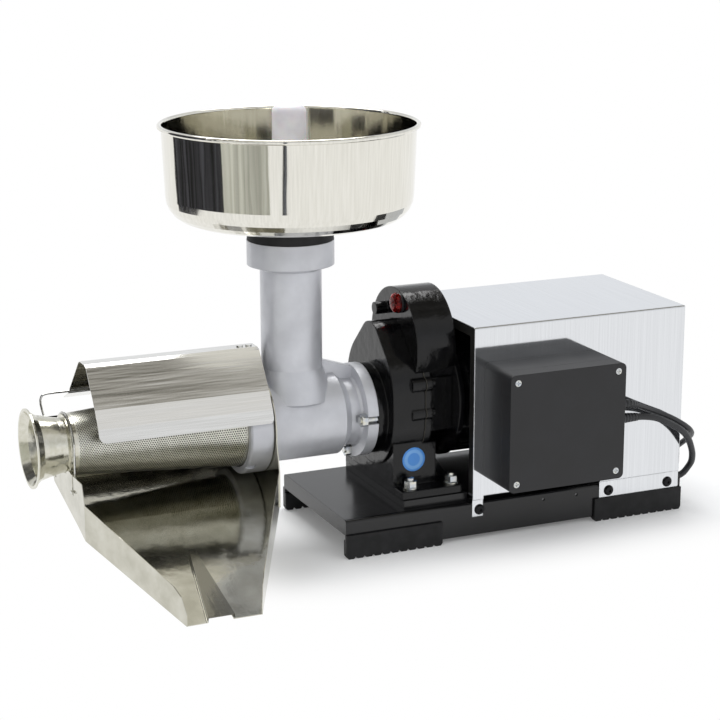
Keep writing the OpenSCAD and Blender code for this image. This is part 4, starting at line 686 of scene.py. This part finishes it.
# drifts of 26 mm in the spray and flake of 0.9 mm
lacquer_drift = add(grey_lacquer, "TexNoise", {"Vector": lacquer_at, "Scale": 1 / 26, "Detail": 3.0})
add(grey_lacquer, "ValToRGB", {"Fac": lacquer_drift}, to="Base Color",
    stops=[(0.3, "#c3c4c9"), (0.7, "#d1d2d7")])
lacquer_pebble = add(grey_lacquer, "TexNoise", {"Vector": lacquer_at, "Scale": 1 / 1.3, "Detail": 3.0})
add(grey_lacquer, "MapRange", {"Value": lacquer_pebble, "To Min": 0.3, "To Max": 0.44}, to="Roughness")
lacquer_edge = add(grey_lacquer, "Bevel", {"Radius": 0.0012})
add(grey_lacquer, "Bump",
    {"Height": lacquer_pebble, "Strength": 0.16, "Distance": 0.0006, "Normal": lacquer_edge}, to="Normal")
finish_in(grey_lacquer, "press_body", "ring_nut")

# Hopper. Stainless sheet spun on a lathe to a deep bowl, its rim rolled over a wire, then buffed to a
# mirror; the buff leaves faint upright lines and the sheet a slow wave.
hopper_mirror = new_material("buffed_spun_stainless", Metallic=1.0)
hopper_at = on_drawing(hopper_mirror, (1, 1, 1 / 60))
# upright lines of 2.4 mm
hopper_lines = add(hopper_mirror, "TexNoise", {"Vector": hopper_at, "Scale": 1 / 2.4, "Detail": 3.0})
add(hopper_mirror, "ValToRGB", {"Fac": hopper_lines}, to="Base Color",
    stops=[(0.3, "#dedcd3"), (0.7, "#e8e6de")])
add(hopper_mirror, "MapRange", {"Value": hopper_lines, "To Min": 0.03, "To Max": 0.1}, to="Roughness")
# wave of 35 mm
hopper_wave = add(hopper_mirror, "TexNoise",
                  {"Vector": on_drawing(hopper_mirror, (1, 1, 1 / 5)), "Scale": 1 / 35})
hopper_height = add(hopper_mirror, "Math", {0: hopper_lines, 1: 0.006, 2: hopper_wave},
                    operation="MULTIPLY_ADD")
add(hopper_mirror, "Bump", {"Height": hopper_height, "Strength": 0.3, "Distance": 0.002}, to="Normal")
finish_in(hopper_mirror, "hopper")

# Pusher. Turned from a bar of natural polyethylene, milky and a little see-through at its edges; it
# stands loose in the neck.
milky_plastic = new_material("natural_polyethylene", Roughness=0.34, Subsurface_Weight=0.25,
                             Subsurface_Scale=0.008)
milky_at = on_drawing(milky_plastic)
milky_cloud = add(milky_plastic, "TexNoise", {"Vector": milky_at, "Scale": 1 / 15, "Detail": 2.0})
add(milky_plastic, "ValToRGB", {"Fac": milky_cloud}, to="Base Color",
    stops=[(0.3, "#dcd9de"), (0.7, "#e8e6ea")])
# tool rings of 1.5 mm round the bar
milky_rings = add(milky_plastic, "TexWave", {"Vector": milky_at, "Scale": 0.21}, bands_direction="Z")
add(milky_plastic, "Bump", {"Height": milky_rings, "Strength": 0.04, "Distance": 0.0003}, to="Normal")
finish_in(milky_plastic, "pusher")

# Auger. White acetal, moulded on its steel shank, with a dull shine on its flight; it runs in the
# cone with a thin gap.
white_acetal = new_material("white_moulded_acetal", Roughness=0.32)
acetal_at = on_drawing(white_acetal)
acetal_flow = add(white_acetal, "TexNoise", {"Vector": acetal_at, "Scale": 1 / 20, "Detail": 3.0})
add(white_acetal, "ValToRGB", {"Fac": acetal_flow}, to="Base Color",
    stops=[(0.3, "#dfdfda"), (0.7, "#ebebe7")])
add(white_acetal, "Bump", {"Height": acetal_flow, "Strength": 0.06, "Distance": 0.0006}, to="Normal")
finish_in(white_acetal, "auger")

# Cone. 1 mm stainless sheet punched with round holes in a staggered pattern, rolled to a cone and
# seam-welded. The real holes are 1.2 mm apart; they are drawn 2.5 mm apart so that they show.
HOLE_PITCH = 2.5
CONE_AXIS = (0.0, 90.0, 138.0)
MIDDLE_RADIUS = 39.5
punched_sheet = new_material("punched_stainless_cone", Metallic=1.0)
punched_at = on_drawing(punched_sheet)
from_axis = add(punched_sheet, "VectorMath", {0: punched_at, 1: CONE_AXIS}, operation="SUBTRACT")
cone_split = add(punched_sheet, "SeparateXYZ", {"Vector": from_axis})
cone_angle = add(punched_sheet, "Math", {0: cone_split.outputs["Z"], 1: cone_split.outputs["Y"]},
                 operation="ARCTAN2")
columns = round(math.tau * MIDDLE_RADIUS / (HOLE_PITCH * math.sqrt(3)))
cone_round = add(punched_sheet, "Math", {0: cone_angle, 1: columns / math.tau}, operation="MULTIPLY")
cone_along = add(punched_sheet, "Math", {0: cone_split.outputs["X"], 1: 1 / HOLE_PITCH},
                 operation="MULTIPLY")
# holes in rows, and rows of holes between them, half a pitch on
nearest = []
for shift in (0.0, 0.5):
    off_centre = []
    for count, spacing in ((cone_along, 1.0), (cone_round, math.sqrt(3))):
        shifted = add(punched_sheet, "Math", {0: count, 1: shift}, operation="ADD")
        folded = add(punched_sheet, "Math", {0: shifted, 1: 0.5}, operation="PINGPONG")
        off_centre.append(add(punched_sheet, "Math", {0: folded, 1: spacing}, operation="MULTIPLY"))
    corner = add(punched_sheet, "CombineXYZ", {"X": off_centre[0], "Y": off_centre[1]})
    nearest.append(add(punched_sheet, "VectorMath", {0: corner}, operation="LENGTH").outputs["Value"])
hole_off = add(punched_sheet, "Math", {0: nearest[0], 1: nearest[1]}, operation="MINIMUM")
# a hole's radius, as a share of the pitch, inside and outside its edge
HOLE_INNER = 0.28
HOLE_OUTER = 0.36
hole_near = add(punched_sheet, "MapRange",
                {"Value": hole_off, "From Min": HOLE_INNER, "From Max": HOLE_OUTER, "To Min": 1.0,
                 "To Max": 0.0})
PUNCHED_FROM = -271.5
PUNCHED_TO = -93.5
punched_zone = add(punched_sheet, "Math",
                   {0: cone_split.outputs["X"], 1: (PUNCHED_FROM + PUNCHED_TO) / 2,
                    2: (PUNCHED_TO - PUNCHED_FROM) / 2}, operation="COMPARE")
hole = add(punched_sheet, "Math", {0: hole_near, 1: punched_zone}, operation="MULTIPLY")
cone_mottle = add(punched_sheet, "TexNoise", {"Vector": punched_at, "Scale": 1 / 9, "Detail": 3.0})
cone_steel = add(punched_sheet, "ValToRGB", {"Fac": cone_mottle},
                 stops=[(0.3, "#d4d3c7"), (0.7, "#e6e5db")])
# painted shade: the holes are painted dark, for the shaded inside of the cone seen through them
hole_painted_shade = add(punched_sheet, "ValToRGB", {"Fac": cone_mottle}, stops=[(0.3, "#26241c"), (0.7, "#3b382d")])
add(punched_sheet, "MixRGB", {0: hole, 1: cone_steel, 2: hole_painted_shade}, to="Base Color")
add(punched_sheet, "MapRange", {"Value": hole, "To Min": 1.0, "To Max": 0.0}, to="Metallic")
add(punched_sheet, "MapRange", {"Value": hole, "To Min": 0.28, "To Max": 0.8}, to="Roughness")
add(punched_sheet, "Bump", {"Height": hole_off, "Strength": 0.25, "Distance": 0.0006}, to="Normal")
finish_in(punched_sheet, "filter_cone")

# Waste outlet. Spun from stainless sheet and polished by hand, a little yellow from the heat of its
# weld to the cone.
outlet_steel = new_material("hand_polished_stainless", Metallic=1.0)
outlet_at = on_drawing(outlet_steel)
# polishing marks of 7 mm round the flare
outlet_marks = add(outlet_steel, "TexNoise", {"Vector": outlet_at, "Scale": 1 / 7, "Detail": 3.0})
add(outlet_steel, "ValToRGB", {"Fac": outlet_marks}, to="Base Color",
    stops=[(0.3, "#cbc9ba"), (0.7, "#dddbd0")])
add(outlet_steel, "MapRange", {"Value": outlet_marks, "To Min": 0.1, "To Max": 0.24}, to="Roughness")
add(outlet_steel, "Bump", {"Height": outlet_marks, "Strength": 0.08, "Distance": 0.001}, to="Normal")
finish_in(outlet_steel, "waste_outlet")

# Guard and its saddle. 0.8 mm stainless sheet, bent over the cone and riveted to the saddle; bending
# left long waves in the polish, and hands left fine scratches along it.
guard_sheet = new_material("polished_bent_stainless", Metallic=1.0)
# waves of 9 mm and scratches of 1.2 mm, both along the press
guard_waves = add(guard_sheet, "TexNoise",
                  {"Vector": on_drawing(guard_sheet, (1 / 14, 1, 1)), "Scale": 1 / 9, "Detail": 2.0})
guard_scratches = add(guard_sheet, "TexNoise",
                      {"Vector": on_drawing(guard_sheet, (1 / 50, 1, 1)), "Scale": 1 / 1.2, "Detail": 3.0})
add(guard_sheet, "ValToRGB", {"Fac": guard_scratches}, to="Base Color",
    stops=[(0.3, "#e2e1dd"), (0.7, "#edece9")])
add(guard_sheet, "MapRange", {"Value": guard_scratches, "To Min": 0.12, "To Max": 0.22}, to="Roughness")
guard_height = add(guard_sheet, "Math", {0: guard_scratches, 1: 0.02, 2: guard_waves},
                   operation="MULTIPLY_ADD")
add(guard_sheet, "Bump", {"Height": guard_height, "Strength": 0.24, "Distance": 0.0015}, to="Normal")
finish_in(guard_sheet, "splash_guard", "guard_saddle")

# Wires. Stainless spring wire of 2.5 mm, drawn bright and bent cold: the guard's clip, which rests on
# the outlet, and the tray's bail, whose ends hook in the tray's left wall.
bright_wire = new_material("drawn_bright_wire", Metallic=1.0, Roughness=0.16)
wire_at = on_drawing(bright_wire)
wire_draw = add(bright_wire, "TexNoise", {"Vector": wire_at, "Scale": 1 / 2.0, "Detail": 2.0})
add(bright_wire, "ValToRGB", {"Fac": wire_draw}, to="Base Color",
    stops=[(0.3, "#c6c6c2"), (0.7, "#dededb")])
add(bright_wire, "Bump", {"Height": wire_draw, "Strength": 0.1, "Distance": 0.0002}, to="Normal")
finish_in(bright_wire, "guard_clip", "tray_bail")

# Tray. Stainless sheet of 0.8 mm, folded to a chute with a centre rib pressed up in its floor, its
# seams soldered; the press tool left the floor mottled.
tray_sheet = new_material("pressed_stainless_tray", Metallic=1.0)
tray_at = on_drawing(tray_sheet)
# mottle of 24 mm and tool drag of 3 mm
tray_mottle = add(tray_sheet, "TexNoise", {"Vector": tray_at, "Scale": 1 / 24, "Detail": 4.0})
tray_drag = add(tray_sheet, "TexNoise",
                {"Vector": on_drawing(tray_sheet, (1, 1 / 20, 1 / 20)), "Scale": 1 / 3, "Detail": 3.0})
tray_tone = add(tray_sheet, "ValToRGB", {"Fac": tray_mottle},
                stops=[(0.3, "#bab8ab"), (0.55, "#cac8bc"), (0.8, "#d6d5cb")])
# the rib's sides are painted dark and its top grey, painted shade that makes it show on the floor, and its
# sides are duller; its height is measured from the floor, which rises to the back
FLOOR_RISE = 0.2924
FLOOR_AT_ZERO = 52.35
RIB_SIDE_MIDDLE = 3.6
RIB_SIDE_HALF = 2.3
RIB_TOP_MIDDLE = 7.4
RIB_TOP_HALF = 1.5
RIB_X = -191.0
RIB_HALF_WIDTH = 16.0
tray_split = add(tray_sheet, "SeparateXYZ", {"Vector": tray_at})
tray_level = add(tray_sheet, "Math",
                 {0: tray_split.outputs["Y"], 1: -FLOOR_RISE, 2: tray_split.outputs["Z"]},
                 operation="MULTIPLY_ADD")
tray_level = add(tray_sheet, "Math", {0: tray_level, 1: FLOOR_AT_ZERO}, operation="SUBTRACT")
rib_side_shade = add(tray_sheet, "Math", {0: tray_level, 1: RIB_SIDE_MIDDLE, 2: RIB_SIDE_HALF},
               operation="COMPARE")
rib_top_shade = add(tray_sheet, "Math", {0: tray_level, 1: RIB_TOP_MIDDLE, 2: RIB_TOP_HALF}, operation="COMPARE")
rib_across = add(tray_sheet, "Math", {0: tray_split.outputs["X"], 1: RIB_X, 2: RIB_HALF_WIDTH},
                 operation="COMPARE")
rib_side_shade = add(tray_sheet, "Math", {0: rib_side_shade, 1: rib_across}, operation="MULTIPLY")
rib_top_shade = add(tray_sheet, "Math", {0: rib_top_shade, 1: rib_across}, operation="MULTIPLY")
# painted shade on the rib's sides and top
tray_tone = add(tray_sheet, "MixRGB", {0: rib_side_shade, 1: tray_tone, 2: srgb("#55534a")})
tray_tone = add(tray_sheet, "MixRGB", {0: rib_top_shade, 1: tray_tone, 2: srgb("#908e84")})
# the raised back wall is painted brown-grey, darker towards its top: a painted shade
WALL_FROM_Y = 132.0
WALL_FROM_Z = 84.0
WALL_FULL_Z = 112.0
wall_deep = add(tray_sheet, "Math", {0: tray_split.outputs["Y"], 1: WALL_FROM_Y}, operation="GREATER_THAN")
wall_high = add(tray_sheet, "MapRange",
                {"Value": tray_split.outputs["Z"], "From Min": WALL_FROM_Z, "From Max": WALL_FULL_Z})
back_wall_shade = add(tray_sheet, "Math", {0: wall_deep, 1: wall_high}, operation="MULTIPLY")
add(tray_sheet, "MixRGB", {0: back_wall_shade, 1: tray_tone, 2: srgb("#6b685c")}, to="Base Color")
tray_shine = add(tray_sheet, "MapRange", {"Value": tray_mottle, "To Min": 0.05, "To Max": 0.15})
add(tray_sheet, "Math", {0: rib_side_shade, 1: 0.5, 2: tray_shine}, operation="MULTIPLY_ADD", to="Roughness")
tray_height = add(tray_sheet, "Math", {0: tray_drag, 1: 0.12, 2: tray_mottle}, operation="MULTIPLY_ADD")
add(tray_sheet, "Bump", {"Height": tray_height, "Strength": 0.2, "Distance": 0.0015}, to="Normal")
finish_in(tray_sheet, "drip_tray", "tray_end_plate")
